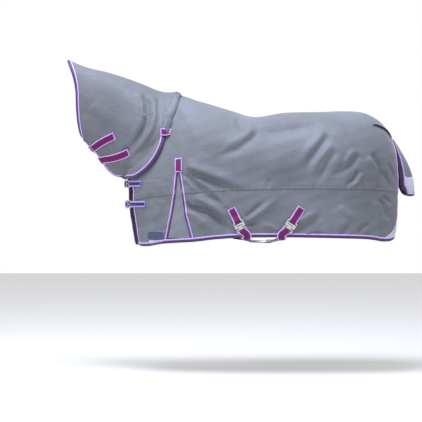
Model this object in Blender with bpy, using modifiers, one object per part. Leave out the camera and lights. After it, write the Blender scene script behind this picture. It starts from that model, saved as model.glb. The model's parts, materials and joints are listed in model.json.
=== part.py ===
"""Horse turnout rug with a sewn-on neck cover, in the shape it has on a standing horse.

Metres, +Z up. The horse would face -X, so -Y is its near (left) side and +Y its off side. The origin
is on the horse's withers, just under the withers pad.
"""

import functools
import math

import bmesh
import bpy
from mathutils import Matrix, Vector
from mathutils.bvhtree import BVHTree

# Layers of the rug, outside to inside. Depths are measured inwards from the outer cloth's face.
OUTER_THICK = 0.0015
FILL_THICK = 0.0060
LINING_THICK = 0.0010
LAYER_GAP = 0.0005
OUTER_DEPTH = OUTER_THICK
FILL_DEPTH = OUTER_DEPTH + 3 * LAYER_GAP + FILL_THICK
LINING_DEPTH = FILL_DEPTH + 2 * LAYER_GAP + LINING_THICK
GUSSET_DEPTH = 0.0060
GUSSET_THICK = 0.0025

# Trim
BINDING_R = 0.0060
EDGE_GAP = 0.0014
SEAM_GAP = 0.0010
SEAM_Z = -0.531
SEAM_SAG = 0.0009
SEAM_HIGH_STATION = 10.0
WEBBING_THICK = 0.0022
SURCINGLE_WIDTH = 0.050
STRAP_WIDTH = 0.038
BACKING = 0.0025
PLATE_THICK = 0.0025
WIRE_R = 0.0020

# Front opening: the near edge stops short of the middle of the chest and the off edge reaches it.
NEAR_FRONT = 1.25
OFF_FRONT = 0.0

# Ribs of the body, from the middle of the chest to the rear edge, as points on one side. Each runs
# from its top, on the neckline or the spine, over the widest point to the hem. y is outwards, and
# lean turns the start of the rib from straight out (0) to straight at the widest point (1).
BODY_RIBS = [
    # top, widest, hem, lean
    ((-0.352, 0.004, -0.465), (-0.345, 0.004, -0.560), (-0.306, 0.004, -0.862), 1.0),
    ((-0.335, 0.085, -0.445), (-0.325, 0.105, -0.560), (-0.288, 0.105, -0.866), 1.0),
    ((-0.300, 0.140, -0.385), (-0.255, 0.185, -0.540), (-0.228, 0.190, -0.868), 1.0),
    ((-0.235, 0.165, -0.285), (-0.150, 0.245, -0.500), (-0.140, 0.250, -0.852), 1.0),
    ((-0.160, 0.135, -0.145), (-0.040, 0.282, -0.460), (-0.045, 0.286, -0.845), 0.8),
    ((-0.095, 0.000, 0.034), (0.080, 0.300, -0.440), (0.060, 0.306, -0.838), 0.55),
    ((0.100, 0.000, -0.005), (0.200, 0.314, -0.430), (0.180, 0.320, -0.824), 0.25),
    ((0.260, 0.000, -0.052), (0.335, 0.325, -0.430), (0.330, 0.332, -0.814), 0.10),
    ((0.420, 0.000, -0.096), (0.470, 0.331, -0.430), (0.470, 0.338, -0.812), 0.0),
    ((0.600, 0.000, -0.071), (0.630, 0.332, -0.430), (0.630, 0.340, -0.812), 0.0),
    ((0.800, 0.000, -0.066), (0.800, 0.328, -0.420), (0.800, 0.336, -0.815), 0.0),
    ((0.960, 0.000, -0.061), (0.955, 0.314, -0.410), (0.960, 0.325, -0.819), 0.0),
    ((1.080, 0.000, -0.070), (1.085, 0.288, -0.410), (1.085, 0.303, -0.824), 0.0),
    ((1.170, 0.000, -0.114), (1.185, 0.245, -0.430), (1.185, 0.266, -0.838), 0.0),
    ((1.225, 0.000, -0.174), (1.250, 0.195, -0.450), (1.243, 0.222, -0.826), 0.1),
    ((1.258, 0.000, -0.226), (1.278, 0.145, -0.470), (1.266, 0.175, -0.780), 0.2),
]

# Ribs of the neck cover, from the face edge to the rear edge that lies over the shoulder.
NECK_RIBS = [
    # mane, widest, throat edge, lean
    ((-0.708, 0.000, 0.250), (-0.652, 0.088, 0.020), (-0.618, 0.040, -0.235), 0.15),
    ((-0.600, 0.000, 0.207), (-0.550, 0.108, -0.040), (-0.570, 0.036, -0.290), 0.15),
    ((-0.480, 0.000, 0.178), (-0.435, 0.132, -0.100), (-0.520, 0.034, -0.345), 0.20),
    ((-0.360, 0.000, 0.141), (-0.330, 0.165, -0.160), (-0.475, 0.032, -0.412), 0.30),
    ((-0.250, 0.000, 0.100), (-0.250, 0.195, -0.215), (-0.430, 0.036, -0.450), 0.40),
    ((-0.155, 0.000, 0.062), (-0.190, 0.205, -0.240), (-0.380, 0.060, -0.460), 0.50),
    ((-0.050, 0.000, 0.044), (-0.134, 0.205, -0.240), (-0.300, 0.140, -0.462), 0.60),
]
NECK_CLEARANCE = 0.0075
NECK_FADE = 0.060
NECK_END = len(NECK_RIBS) - 1
BODY_END = len(BODY_RIBS) - 1
WIDEST_AT = 0.5
THROAT_TUCK = 0.85

# Shoulder gusset: its slit's edges, as x at each height.
GUSSET_TOP_Z = -0.414
SLIT_FRONT = ((-0.414, -0.0400), (-0.560, -0.0540), (-0.700, -0.0760), (-0.860, -0.1090))
SLIT_REAR = ((-0.414, -0.0400), (-0.560, -0.0150), (-0.700, 0.0030), (-0.860, 0.0460))
GUSSET_LAP = 0.012
FILL_CLEAR = 0.004

# Facets: columns and rows of each patch of the body and the neck cover
REAR_GRID = (13, 6)
REAR_LOW_GRID = (13, 3)
FRONT_GRID = (7, 6)
FRONT_LOW_GRID = (7, 3)
NECK_GRID = (9, 7)
NECK_INSET = 0.008
NECK_FILL_SLACK = 0.0018
APEX_ROW = 4 / 6
SIDES = ((-1, "near"), (1, "off"))
SPINE_GAP = 0.0004
FILL_SEAM = 0.0006
NECKLINE_END = 0.008

GUSSET_HEM_Z = -0.832
GUSSET_TAB = ((-0.036, -0.362), (-0.036, -0.385), (-0.036, -0.410), (-0.036, -0.436))
GUSSET_TAB_WIDTH = 0.045

PAD_SHARE = 1 / 6
PAD_THICK = 0.0025
PAD_DEPTH = LINING_DEPTH + LAYER_GAP + PAD_THICK

TAB_LEVEL = 0.44
TAB_STATIONS = (5.75, 5.88, 6.0)
TAB_LIFT = 0.0030
TAB_WIDTH = 0.045
TAB_REACH = 0.020
TAB_END = 0.010

# Neck straps: the rib place at the throat edge, then (rib place, share down it) up the near side
NECK_STRAP_WIDTH = 0.048
NECK_STRAPS = {
    "neck_strap_upper": (1.0, (1.15, 0.92), (1.40, 0.83), (1.70, 0.75), (2.20, 0.65)),
    "neck_strap_lower": (2.2, (2.35, 0.92), (2.60, 0.85), (2.90, 0.78), (3.30, 0.70)),
}
STRAP_WRAP = 0.0030

# Tail flap
FLAP_LEVEL = 0.20
FLAP_LENGTH = 0.330
FLAP_BACK = 0.125
FLAP_TURN = 1.75
FLAP_CUP = 0.72
FLAP_ROUND = 0.33
FLAP_THICK = 0.0030
FLAP_COLUMNS = 8
FLAP_ROWS = 5

# Chest closures: the height of each and the length of its near tab
CHEST_CLOSURES = {"upper_chest": (-0.505, 0.085), "lower_chest": (-0.628, 0.100)}
RING_AT = 0.022
BAR_LIFT = 0.0075
FOLD_R = 0.0030
RING_WIDTH = 0.046
RING_LENGTH = 0.022
HOOK_WIRE_R = 0.0025
HOOK_INNER = 0.0050
HOOK_SHANK = 0.010
HOOK_SWEEP = 250
GATE_R = 0.0015
GATE_CLEAR = 0.0035
EYE_HEIGHT = 0.020
EYE_SLOT = 0.0090
EYE_THICK = 0.0035
EYE_FOLD_R = 0.0038
OFF_STRAP_LENGTH = 0.110

# Surcingles: the near strap's (x, z) places down to its plate, the off strap's, and the belly's height
SURCINGLES = {
    "front_surcingle": (
        ((0.275, -0.655), (0.286, -0.677), (0.297, -0.699), (0.3215, -0.748)),
        ((0.592, -0.655), (0.596, -0.695), (0.600, -0.735), (0.604, -0.775)),
        -0.862,
    ),
    "rear_surcingle": (
        ((0.690, -0.650), (0.675, -0.673), (0.660, -0.696), (0.6265, -0.747)),
        ((0.300, -0.655), (0.305, -0.695), (0.310, -0.735), (0.315, -0.775)),
        -0.850,
    ),
}
BELLY_DROP = 0.024
BELLY_CLEAR = 0.012
SLIDER_AT = 0.15
SLIDER_HEIGHT = 0.0130
SLIDER_LENGTH = 0.022
PLATE_LIFT = 0.0105
PLATE_HEIGHT = 0.042
PLATE_SLOT = 0.0085
PLATE_BAR = 0.0050
PLATE_FOLD_R = 0.0036
T_WIDTH = 0.034
STRAP_SLOT_AT = 0.009
HOOK_SLOT_AT = -0.009
HOOK_GAP = 0.0006
HOOK_RISE = 0.016
HOOK_FOOT = 0.022
HOOK_DROP = 0.024

# Leg strap rings inside the rear, and the blank label
LEG_RING_X = 1.150
LEG_RING_Z = -0.720
LEG_RING_LIFT = 0.0140
LEG_TAB_LIFT = 0.0085
LEG_TAB_WIDTH = 0.025
LABEL_X = -0.170
LABEL_Z = -0.815
LABEL_WIDTH = 0.112
LABEL_HEIGHT = 0.058
LABEL_THICK = 0.0015

# a point on each joint's axis, and the pieces that turn about it
JOINTS = {
    "tail_flap_lift": ((1.268, 0.0, -0.229), ("tail_flap", "tail_flap_binding")),
    "neck_strap_upper_peel": ((-0.5687, 0.0270, -0.2884), ("neck_strap_upper",)),
    "neck_strap_lower_peel": ((-0.5116, 0.0243, -0.3583), ("neck_strap_lower",)),
    "upper_ring_swing": ((-0.3337, -0.1042, -0.5050), ("upper_chest_ring",)),
    "lower_ring_swing": ((-0.3263, -0.1120, -0.6280), ("lower_chest_ring",)),
    "upper_gate_open": ((-0.3436, -0.0768, -0.5050), ("upper_chest_gate",)),
    "lower_gate_open": ((-0.3371, -0.0850, -0.6280), ("lower_chest_gate",)),
    "front_belly_strap_drop": ((0.604, 0.348, -0.797), ("front_surcingle_belly_strap",)),
    "rear_belly_strap_drop": ((0.315, 0.348, -0.797), ("rear_surcingle_belly_strap",)),
    "front_t_hook_tilt": ((0.3401, -0.3458, -0.7865), ("front_surcingle_t_hook",)),
    "rear_t_hook_tilt": ((0.6027, -0.3532, -0.7830), ("rear_surcingle_t_hook",)),
    "leg_ring_near_swing": ((1.1401, -0.2526, -0.7214), ("leg_ring_near",)),
    "leg_ring_off_swing": ((1.1401, 0.2526, -0.7214), ("leg_ring_off",)),
}

COLOURS = {
    "outer_cloth": ((0.34, 0.35, 0.38), 0.75, 0.0),
    "lining_cloth": ((0.10, 0.07, 0.15), 0.6, 0.0),
    "fill": ((0.85, 0.85, 0.82), 0.95, 0.0),
    "binding": ((0.20, 0.06, 0.28), 0.6, 0.0),
    "webbing": ((0.22, 0.04, 0.25), 0.7, 0.0),
    "steel": ((0.72, 0.72, 0.74), 0.25, 1.0),
    "patch": ((0.55, 0.52, 0.65), 0.5, 0.0),
    "fleece": ((0.30, 0.28, 0.33), 1.0, 0.0),
}


def clear_scene():
    for obj in list(bpy.data.objects):
        bpy.data.objects.remove(obj)


def make_materials():
    made = {}
    for name, (colour, roughness, metallic) in COLOURS.items():
        material = bpy.data.materials.new(name)
        material.use_nodes = True
        shader = material.node_tree.nodes["Principled BSDF"]
        shader.inputs["Base Color"].default_value = (*colour, 1.0)
        shader.inputs["Roughness"].default_value = roughness
        shader.inputs["Metallic"].default_value = metallic
        made[name] = material
    return made


# ---------------------------------------------------------------- curves and surfaces


def through(values, at):
    """A smooth curve through the values (vectors or numbers), at a place counted in values."""
    last = len(values) - 1
    i = min(int(max(at, 0)), last - 1)
    f = at - i
    a, b = values[i], values[i + 1]
    before = values[i - 1] if i > 0 else a * 2 - b
    after = values[i + 2] if i < last - 1 else b * 2 - a
    bend = (before * 2 - a * 5 + b * 4 - after) * (0.5 * f * f)
    twist = (a * 3 - before - b * 3 + after) * (0.5 * f**3)
    return a + (b - before) * (0.5 * f) + bend + twist


def bezier(p0, p1, p2, p3, t):
    u = 1 - t
    return p0 * u**3 + p1 * (3 * u * u * t) + p2 * (3 * u * t * t) + p3 * t**3


ROUND = 0.5523


def rib_curve(rib, t, tuck):
    """A point of a rib: t is 0 at its top, WIDEST_AT at its widest point and 1 at its lower edge."""
    top, side, low, lean = rib
    if t <= WIDEST_AT:
        out = Vector((0.0, side.y - top.y, 0.0)) * (1 - lean) + (side - top) * lean
        first = top + out * (ROUND * (1 - lean) + lean / 3)
        rise = Vector((0.0, 0.0, (top.z - side.z) * (ROUND * (1 - lean) + lean / 3)))
        return bezier(top, first, side + rise, side, t / WIDEST_AT)
    fall = Vector((0.0, 0.0, (low.z - side.z) / 3 * (1 + tuck * 0.6)))
    under = Vector((side.x, side.y, low.z)) - low
    end = low + (side - low) / 3 * (1 - tuck) + under * (ROUND * tuck)
    return bezier(side, side + fall, end, low, (t - WIDEST_AT) / (1 - WIDEST_AT))


def rib_at(ribs, s):
    parts = [through([Vector(rib[k]) for rib in ribs], s) for k in range(3)]
    parts[0].y = max(parts[0].y, 0.0)
    return (*parts, through([rib[3] for rib in ribs], s))


def body_curve(s, t):
    point = rib_curve(rib_at(BODY_RIBS, s), t, 0.0)
    if t < 1e-6 and s >= 5:
        point.y = 0.0
    return point


def normal_of(curve, s, t, s_end, step=0.004):
    """The outward normal of a surface given for the y-positive side."""
    s0, s1 = max(s - step, 0), min(s + step, s_end)
    t0, t1 = max(t - step, 0), min(t + step, 1)
    along = curve(s1, t) - curve(s0, t)
    down = curve(s, t1) - curve(s, t0)
    return along.cross(down).normalized()


def body_point(s, t, depth=0.0, side=1):
    """A point of the body at a depth inwards from the outer face, on the off side (1) or near (-1)."""
    point = body_curve(s, t)
    return inward_of(point, normal_of(body_curve, s, t, BODY_END), depth, side)


def inward_of(point, out, depth, side):
    """The point moved inwards by depth. On the middle plane both halves' layers meet in a mitre."""
    if point.y < 1e-6:
        out = Vector((out.x, 0.0, out.z)) / (out.x**2 + out.z**2)
    moved = point - out * depth
    return Vector((moved.x, moved.y * side, moved.z))


def solve(value, target, low, high):
    """Where a rising function reaches the target."""
    for _ in range(26):
        middle = (low + high) / 2
        if value(middle) < target:
            low = middle
        else:
            high = middle
    return (low + high) / 2


def level(z, s):
    """The share down a rib where the body surface is at height z."""
    return solve(lambda t: -body_curve(s, t).z, -z, 0.0, 1.0)


def at_height(table, z):
    """x from a table of (z, x), which runs downwards."""
    for (z0, x0), (z1, x1) in zip(table, table[1:]):
        if z >= z1:
            return x0 + (x1 - x0) * max(0.0, (z0 - z) / (z0 - z1))
    return table[-1][1]


@functools.cache
def spot(x, z):
    """The rib place and share down it where the body's side is at x and z."""
    s = solve(lambda s: body_curve(s, level(z, s)).x, x, 0.0, BODY_END)
    return s, level(z, s)


def on_side(x, z, lift, side):
    """A point outside the body's side by lift, at x and z."""
    return body_point(*spot(x, z), -lift, side)


def out_at(x, z, side):
    """The outward direction of the body's side at x and z."""
    out = normal_of(body_curve, *spot(x, z), BODY_END)
    return Vector((out.x, out.y * side, out.z))


def body_tree():
    """The outer face of the body's off side, to measure from."""
    grid = bmesh.new()
    bmesh.ops.create_grid(grid, x_segments=60, y_segments=24, size=0.5)
    for v in grid.verts:
        v.co = body_curve((v.co.x + 0.5) * BODY_END, v.co.y + 0.5)
    grid.normal_update()
    tree = BVHTree.FromBMesh(grid)
    grid.free()
    return tree


BODY_TREE = body_tree()


@functools.cache
def neck_curve(s, t):
    """The neck cover's outer face, held clear of the body where it lies over it."""
    point = rib_curve(rib_at(NECK_RIBS, s), t, THROAT_TUCK)
    if t < 1e-6:
        point.y = 0.0
    near, out, _, _ = BODY_TREE.find_nearest(point)
    away = point - near
    height = away.dot(out)
    beside = (away - out * height).length
    short = LINING_DEPTH + NECK_CLEARANCE - height
    if short > 0:
        point += out * short * max(0.0, 1 - beside / NECK_FADE)
    if t < 1e-6:
        point.y = 0.0
    return point


def neck_point(s, t, depth=0.0, side=1):
    point = neck_curve(s, t)
    return inward_of(point, normal_of(neck_curve, s, t, NECK_END), depth, side)


# ---------------------------------------------------------------- building blocks


def finish(obj, material):
    obj.data.materials.append(MATERIALS[material])
    RUG.objects.link(obj)
    return obj


def sheet(name, patches, depth, thickness, material):
    """A layer made of patches, each (place, columns, rows, side), thickened outwards from depth."""
    whole = bmesh.new()
    for place, columns, rows, side in patches:
        before = set(whole.verts)
        bmesh.ops.create_grid(whole, x_segments=columns, y_segments=rows, size=0.5)
        added = [v for v in whole.verts if v not in before]
        for v in added:
            v.co = place(v.co.x + 0.5, v.co.y + 0.5, depth, side)
        faces = list({f for v in added for f in v.link_faces})
        faces.sort(key=lambda f: f.calc_center_median().x)
        if side < 0:
            bmesh.ops.reverse_faces(whole, faces=faces)
    bmesh.ops.triangulate(whole, faces=whole.faces, quad_method="FIXED")
    bmesh.ops.remove_doubles(whole, verts=whole.verts, dist=1e-5)
    mesh = bpy.data.meshes.new(name)
    whole.to_mesh(mesh)
    whole.free()
    obj = bpy.data.objects.new(name, mesh)
    solidify = obj.modifiers.new("thickness", "SOLIDIFY")
    solidify.thickness = thickness
    solidify.offset = 1.0
    return finish(obj, material)


def ribbon(name, points, outs, width, thickness, material):
    """Webbing along points, its flat face turned to outs and its inner face on the points."""
    points = [Vector(p) for p in points]
    band = bmesh.new()
    bmesh.ops.create_grid(band, x_segments=len(points) - 1, y_segments=1, size=0.5)
    last = len(points) - 1
    for v in band.verts:
        i = round((v.co.x + 0.5) * last)
        along = points[min(i + 1, last)] - points[max(i - 1, 0)]
        across = Vector(outs[i]).cross(along).normalized()
        v.co = points[i] + across * (width * v.co.y)
    mesh = bpy.data.meshes.new(name)
    band.to_mesh(mesh)
    band.free()
    obj = bpy.data.objects.new(name, mesh)
    solidify = obj.modifiers.new("thickness", "SOLIDIFY")
    solidify.thickness = thickness
    solidify.offset = 1.0
    return finish(obj, material)


def tube(name, points, radius, material, closed=False, sides=1):
    """A round bar or a rolled binding along points."""
    curve = bpy.data.curves.new(name, "CURVE")
    curve.dimensions = "3D"
    curve.bevel_depth = radius
    curve.bevel_resolution = sides
    curve.use_fill_caps = not closed
    spline = curve.splines.new("POLY")
    spline.points.add(len(points) - 1)
    for at, point in zip(spline.points, points):
        at.co = (*point, 1.0)
    spline.use_cyclic_u = closed
    return finish(bpy.data.objects.new(name, curve), material)


def plate(name, outlines, thickness, matrix, material):
    """A flat plate: the first outline is its edge and the others are its holes."""
    curve = bpy.data.curves.new(name, "CURVE")
    curve.dimensions = "2D"
    curve.fill_mode = "BOTH"
    curve.extrude = thickness / 2
    for outline in outlines:
        spline = curve.splines.new("POLY")
        spline.points.add(len(outline) - 1)
        for at, (x, y) in zip(spline.points, outline):
            at.co = (x, y, 0.0, 1.0)
        spline.use_cyclic_u = True
    obj = bpy.data.objects.new(name, curve)
    obj.matrix_world = matrix
    return finish(obj, material)


def rounded(width, height, radius, steps=3, centre=(0.0, 0.0)):
    """A rectangle with round corners, as an outline."""
    outline = []
    for k, (cx, cy) in enumerate([(1, 1), (-1, 1), (-1, -1), (1, -1)]):
        for i in range(steps + 1):
            a = math.pi / 2 * (k + i / steps)
            x = cx * (width / 2 - radius) + radius * math.cos(a)
            y = cy * (height / 2 - radius) + radius * math.sin(a)
            outline.append((x + centre[0], y + centre[1]))
    return outline


def frame_at(origin, along, out):
    """A matrix whose X is across, Y is against along, and Z is out."""
    z = Vector(out).normalized()
    y = (-Vector(along) + z * z.dot(Vector(along))).normalized()
    x = y.cross(z)
    return Matrix.Translation(origin) @ Matrix((x, y, z)).transposed().to_4x4()


# ---------------------------------------------------------------- the body's cloth


@functools.cache
def seam_level(s):
    return level(SEAM_Z - SEAM_SAG * (s - SEAM_HIGH_STATION) ** 2, s)


@functools.cache
def apex_share():
    """The share of the way from the spine to the seam at which the shoulder slit starts."""
    s, t = spot(SLIT_REAR[0][1], GUSSET_TOP_Z)
    return t / seam_level(s)


def row_level(s, q, upper, gap):
    """The share down the rib of row q of the upper or the lower patch."""
    seam = seam_level(s)
    if not upper:
        return seam + gap + q * (1 - seam - gap)
    apex = apex_share()
    if q <= APEX_ROW:
        return q / APEX_ROW * apex * seam
    return (apex + (q - APEX_ROW) / (1 - APEX_ROW) * (1 - apex)) * seam - gap * q


@functools.cache
def slit_station(table, q, upper):
    """The rib place of one edge of the slit, in row q of the upper or lower patch."""
    def past(s):
        point = body_curve(s, row_level(s, q, upper, 0.0))
        return point.x - at_height(table, point.z)
    return solve(past, 0.0, 2.0, 7.5)


def cut_back(place, p, edge_p, q, upper, cut, columns):
    """A point of the patch, moved away from the slit's edge by cut along its own facet."""
    point = place(p, q)
    if not cut or abs(p - edge_p) > 1e-6:
        return point
    inner = place(abs(edge_p - 1 / columns), q)
    beside_slit = not upper or q > APEX_ROW - 1e-6
    distance = cut if beside_slit else FILL_SEAM
    return point + (inner - point).normalized() * distance


def behind_slit(upper, cut=0.0, gap=0.0):
    def place(p, q, depth, side):
        def plain(p, q):
            first = slit_station(SLIT_REAR, q, upper)
            s = first + (BODY_END - first) * p
            return apart(body_point(s, row_level(s, q, upper, gap), depth, side), side, cut)
        return cut_back(plain, p, 0, q, upper, cut, REAR_GRID[0])
    return place


def before_slit(upper, cut=0.0, gap=0.0):
    def place(p, q, depth, side):
        def plain(p, q):
            last = slit_station(SLIT_FRONT, q, upper)
            front = OFF_FRONT if side > 0 else NEAR_FRONT
            s = front + (last - front) * p
            return apart(body_point(s, row_level(s, q, upper, gap), depth, side), side, cut)
        return cut_back(plain, p, 1, q, upper, cut, FRONT_GRID[0])
    return place


def apart(point, side, split):
    """Keeps the near and off halves of a split layer clear of each other at the spine."""
    if split and abs(point.y) < SPINE_GAP:
        point.y = side * SPINE_GAP
    return point


def both_grids(rear_place, front_place, upper, side):
    rear, front = (REAR_GRID, FRONT_GRID) if upper else (REAR_LOW_GRID, FRONT_LOW_GRID)
    return [(rear_place, *rear, side), (front_place, *front, side)]


def make_panels():
    gap = SEAM_GAP
    pieces = []
    for side, _ in SIDES:
        pieces += both_grids(behind_slit(True, gap=gap), before_slit(True, gap=gap), True, side)
    sheet("upper_panel", pieces, OUTER_DEPTH, OUTER_THICK, "outer_cloth")
    for side, word in SIDES:
        rear = [(behind_slit(False, gap=gap), *REAR_LOW_GRID, side)]
        front = [(before_slit(False, gap=gap), *FRONT_LOW_GRID, side)]
        sheet(f"side_panel_{word}", rear, OUTER_DEPTH, OUTER_THICK, "outer_cloth")
        sheet(f"front_panel_{word}", front, OUTER_DEPTH, OUTER_THICK, "outer_cloth")


def make_filling():
    cut = GUSSET_LAP + FILL_CLEAR
    for side, word in SIDES:
        rear = []
        front = []
        for upper in (True, False):
            behind, before = both_grids(behind_slit(upper, cut), before_slit(upper, cut), upper, side)
            rear.append(behind)
            front.append(before)
        sheet(f"barrel_fill_{word}", rear, FILL_DEPTH, FILL_THICK, "fill")
        sheet(f"shoulder_fill_{word}", front, FILL_DEPTH, FILL_THICK, "fill")


def make_lining():
    """Each half keeps a hair's breadth from the other at the spine seam."""
    def halved(place):
        return lambda p, q, depth, side: apart(place(p, q, depth, side), side, True)
    for side, word in SIDES:
        pieces = []
        for upper in (True, False):
            pieces += both_grids(halved(behind_slit(upper)), halved(before_slit(upper)), upper, side)
        sheet(f"lining_{word}", pieces, LINING_DEPTH, LINING_THICK, "lining_cloth")


def make_gussets():
    def place(p, q, depth, side):
        z = GUSSET_TOP_Z - 0.004 + (GUSSET_HEM_Z - GUSSET_TOP_Z) * q
        x0 = at_height(SLIT_FRONT, z) - GUSSET_LAP
        x1 = at_height(SLIT_REAR, z) + GUSSET_LAP
        return on_side(x0 + (x1 - x0) * p, z, -depth, side)
    for side, word in SIDES:
        sheet(f"gusset_{word}", [(place, 4, 6, side)], GUSSET_DEPTH, GUSSET_THICK, "outer_cloth")
        strap_on_side(f"gusset_tab_{word}", GUSSET_TAB, BACKING, GUSSET_TAB_WIDTH, side)


def strap_on_side(name, route, lift, width, side):
    """Webbing laid on the body's side through (x, z) places."""
    points = [on_side(x, z, lift, side) for x, z in route]
    outs = [out_at(x, z, side) for x, z in route]
    ribbon(name, points, outs, width, WEBBING_THICK, "webbing")


def make_withers_pad():
    """Fleece under the lining at the withers, the highest part of what rests on the horse."""
    def place(p, q, depth, side):
        first = slit_station(SLIT_REAR, q * PAD_SHARE, True)
        s = first + (BODY_END - first) / REAR_GRID[0] * p
        return body_point(s, row_level(s, q * PAD_SHARE, True, 0.0), depth, side)
    pieces = [(place, 1, 1, side) for side, _ in SIDES]
    sheet("withers_pad", pieces, PAD_DEPTH, PAD_THICK, "fleece")


# ---------------------------------------------------------------- bindings


def bound(points, outs, away):
    """The middle of a rolled binding beyond an edge, given the cloth's outward directions there."""
    path = []
    last = len(points) - 1
    for i, point in enumerate(points):
        along = points[min(i + 1, last)] - points[max(i - 1, 0)]
        beyond = along.cross(outs[i]).normalized()
        if beyond.dot(away[i]) < 0:
            beyond = -beyond
        path.append(point + beyond * (BINDING_R + EDGE_GAP))
    return path


def body_out(s, t, side):
    out = normal_of(body_curve, s, t, BODY_END)
    return Vector((out.x, out.y * side, out.z))


def neck_out(s, t, side):
    out = normal_of(neck_curve, s, t, NECK_END)
    return Vector((out.x, out.y * side, out.z))


def rows(upper_rows, lower_rows):
    return [(i / upper_rows, True) for i in range(upper_rows)] + [(i / lower_rows, False) for i in range(lower_rows + 1)]


def hem_stations(front):
    front_last = slit_station(SLIT_FRONT, 1.0, False)
    rear_first = slit_station(SLIT_REAR, 1.0, False)
    ahead = [front + (front_last - front) * i / FRONT_GRID[0] for i in range(FRONT_GRID[0] + 1)]
    behind = [rear_first + (BODY_END - rear_first) * i / REAR_GRID[0] for i in range(REAR_GRID[0] + 1)]
    return ahead + [(front_last + rear_first) / 2] + behind


def make_bindings():
    middle = LINING_DEPTH / 2
    edge_rows = rows(REAR_GRID[1], REAR_LOW_GRID[1])
    for side, word, front in ((-1, "near", NEAR_FRONT), (1, "off", OFF_FRONT)):
        levels = [row_level(front, q, upper, 0.0) for q, upper in edge_rows]
        points = [body_point(front, t, middle, side) for t in levels]
        outs = [body_out(front, t, side) for t in levels]
        path = bound(points, outs, [Vector((-0.3, -side, 0))] * len(points))
        tube(f"front_binding_{word}", path, BINDING_R, "binding")
    points, outs, away = [], [], []
    for side, front in ((-1, NEAR_FRONT), (1, OFF_FRONT)):
        hem = [(s, 1.0, Vector((0, 0, -1))) for s in hem_stations(front)[:-1]]
        corner = [(BODY_END, 1.0, Vector((1, 0, -1)))]
        rear = [(BODY_END, row_level(BODY_END, q, upper, 0.0), Vector((1, 0, 0))) for q, upper in edge_rows[-2:0:-1]]
        run = hem + corner + rear
        if side < 0:
            run.append((BODY_END, 0.0, Vector((1, 0, 0))))
        else:
            run.reverse()
        points += [body_point(s, t, middle, side) for s, t, _ in run]
        outs += [body_out(s, t, side) for s, t, _ in run]
        away += [beyond for _, _, beyond in run]
    outs = [Vector((out.x, 0, out.z)) if abs(p.y) < 1e-6 else out for p, out in zip(points, outs)]
    tube("hem_binding", bound(points, outs, away), BINDING_R, "binding")


def make_neckline_binding():
    """The bound neckline, from the near front corner over the withers to the off front corner."""
    middle = LINING_DEPTH / 2
    points, outs, away = [], [], []
    for side, front in ((-1, NEAR_FRONT), (1, OFF_FRONT)):
        last = slit_station(SLIT_FRONT, 0.0, True)
        stations = [front + (last - front) * i / FRONT_GRID[0] for i in range(FRONT_GRID[0])]
        if side > 0:
            stations.reverse()
        else:
            stations.append(5.0)
        for s in stations:
            points.append(body_point(s, 0.0, middle, side))
            outs.append(body_out(s, 0.0, side))
            away.append(Vector((-1, 0, 0.6)))
    path = bound(points, outs, away)
    path[0] += (path[1] - path[0]).normalized() * NECKLINE_END
    path[-1] += (path[-2] - path[-1]).normalized() * NECKLINE_END
    tube("neckline_binding", path, BINDING_R, "binding")


# ---------------------------------------------------------------- neck cover


def make_neck():
    def place(p, q, depth, side):
        return neck_point(p * NECK_END, q, depth, side)
    def inside(p, q, depth, side):
        """The filling stops short of the bound edge, in the plane of its own facets."""
        columns, levels = NECK_GRID
        point = place(p, q, depth, side)
        p_in = p + (1 / columns if p < 1e-6 else -1 / columns if p > 1 - 1e-6 else 0)
        q_in = q - (1 / levels if q > 1 - 1e-6 else 0)
        if (p_in, q_in) == (p, q):
            return point
        return point + (place(p_in, q_in, depth, side) - point).normalized() * NECK_INSET
    pieces = [(place, *NECK_GRID, side) for side, _ in SIDES]
    sheet("neck_outer", pieces, OUTER_DEPTH, OUTER_THICK, "outer_cloth")
    inner = [(inside, *NECK_GRID, side) for side, _ in SIDES]
    sheet("neck_fill", inner, FILL_DEPTH - NECK_FILL_SLACK, FILL_THICK - 2 * NECK_FILL_SLACK, "fill")
    sheet("neck_lining", pieces, LINING_DEPTH, LINING_THICK, "lining_cloth")
    columns, levels = NECK_GRID
    points, outs, away = [], [], []
    for side in (-1, 1):
        throat = [(NECK_END * i / columns, 1.0, Vector((0, -side * 0.8, -1))) for i in range(1, columns)]
        face = [(0.0, i / levels, Vector((-1, 0, 0))) for i in range(levels, 0, -1)]
        rear = [(NECK_END, i / levels, Vector((1, 0, 0))) for i in range(1, levels + 1)]
        run = rear + throat[::-1] + face
        run.append((0.0, 0.0, Vector((-1, 0, 0)))) if side < 0 else run.insert(0, (NECK_END, 0.0, Vector((1, 0, 0))))
        if side > 0:
            run.reverse()
        for s, t, beyond in run:
            points.append(neck_point(s, t, LINING_DEPTH / 2, side))
            out = neck_out(s, t, side)
            outs.append(Vector((out.x, 0, out.z)) if t == 0.0 else out)
            away.append(beyond)
    tube("neck_binding", bound(points, outs, away), BINDING_R, "binding", closed=True)
    for side, word in SIDES:
        strap_over_edge(f"neck_tab_{word}", side)


def strap_over_edge(name, side):
    """A tab from the neck cover's rear edge down on to the body."""
    on_neck = [neck_point(s, TAB_LEVEL, -TAB_LIFT, side) for s in TAB_STATIONS]
    outs = [neck_out(s, TAB_LEVEL, side) for s in TAB_STATIONS]
    rearward = (on_neck[-1] - on_neck[-2]).normalized()
    beyond = on_neck[-1] + rearward * (2 * BINDING_R + 0.004)
    x, z = beyond.x + TAB_REACH, beyond.z
    ribbon(
        name,
        [*on_neck, beyond, on_side(x, z, BACKING, side), on_side(x + TAB_END, z, BACKING, side)],
        [*outs, outs[-1], out_at(x, z, side), out_at(x + TAB_END, z, side)],
        TAB_WIDTH,
        WEBBING_THICK,
        "webbing",
    )


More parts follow.
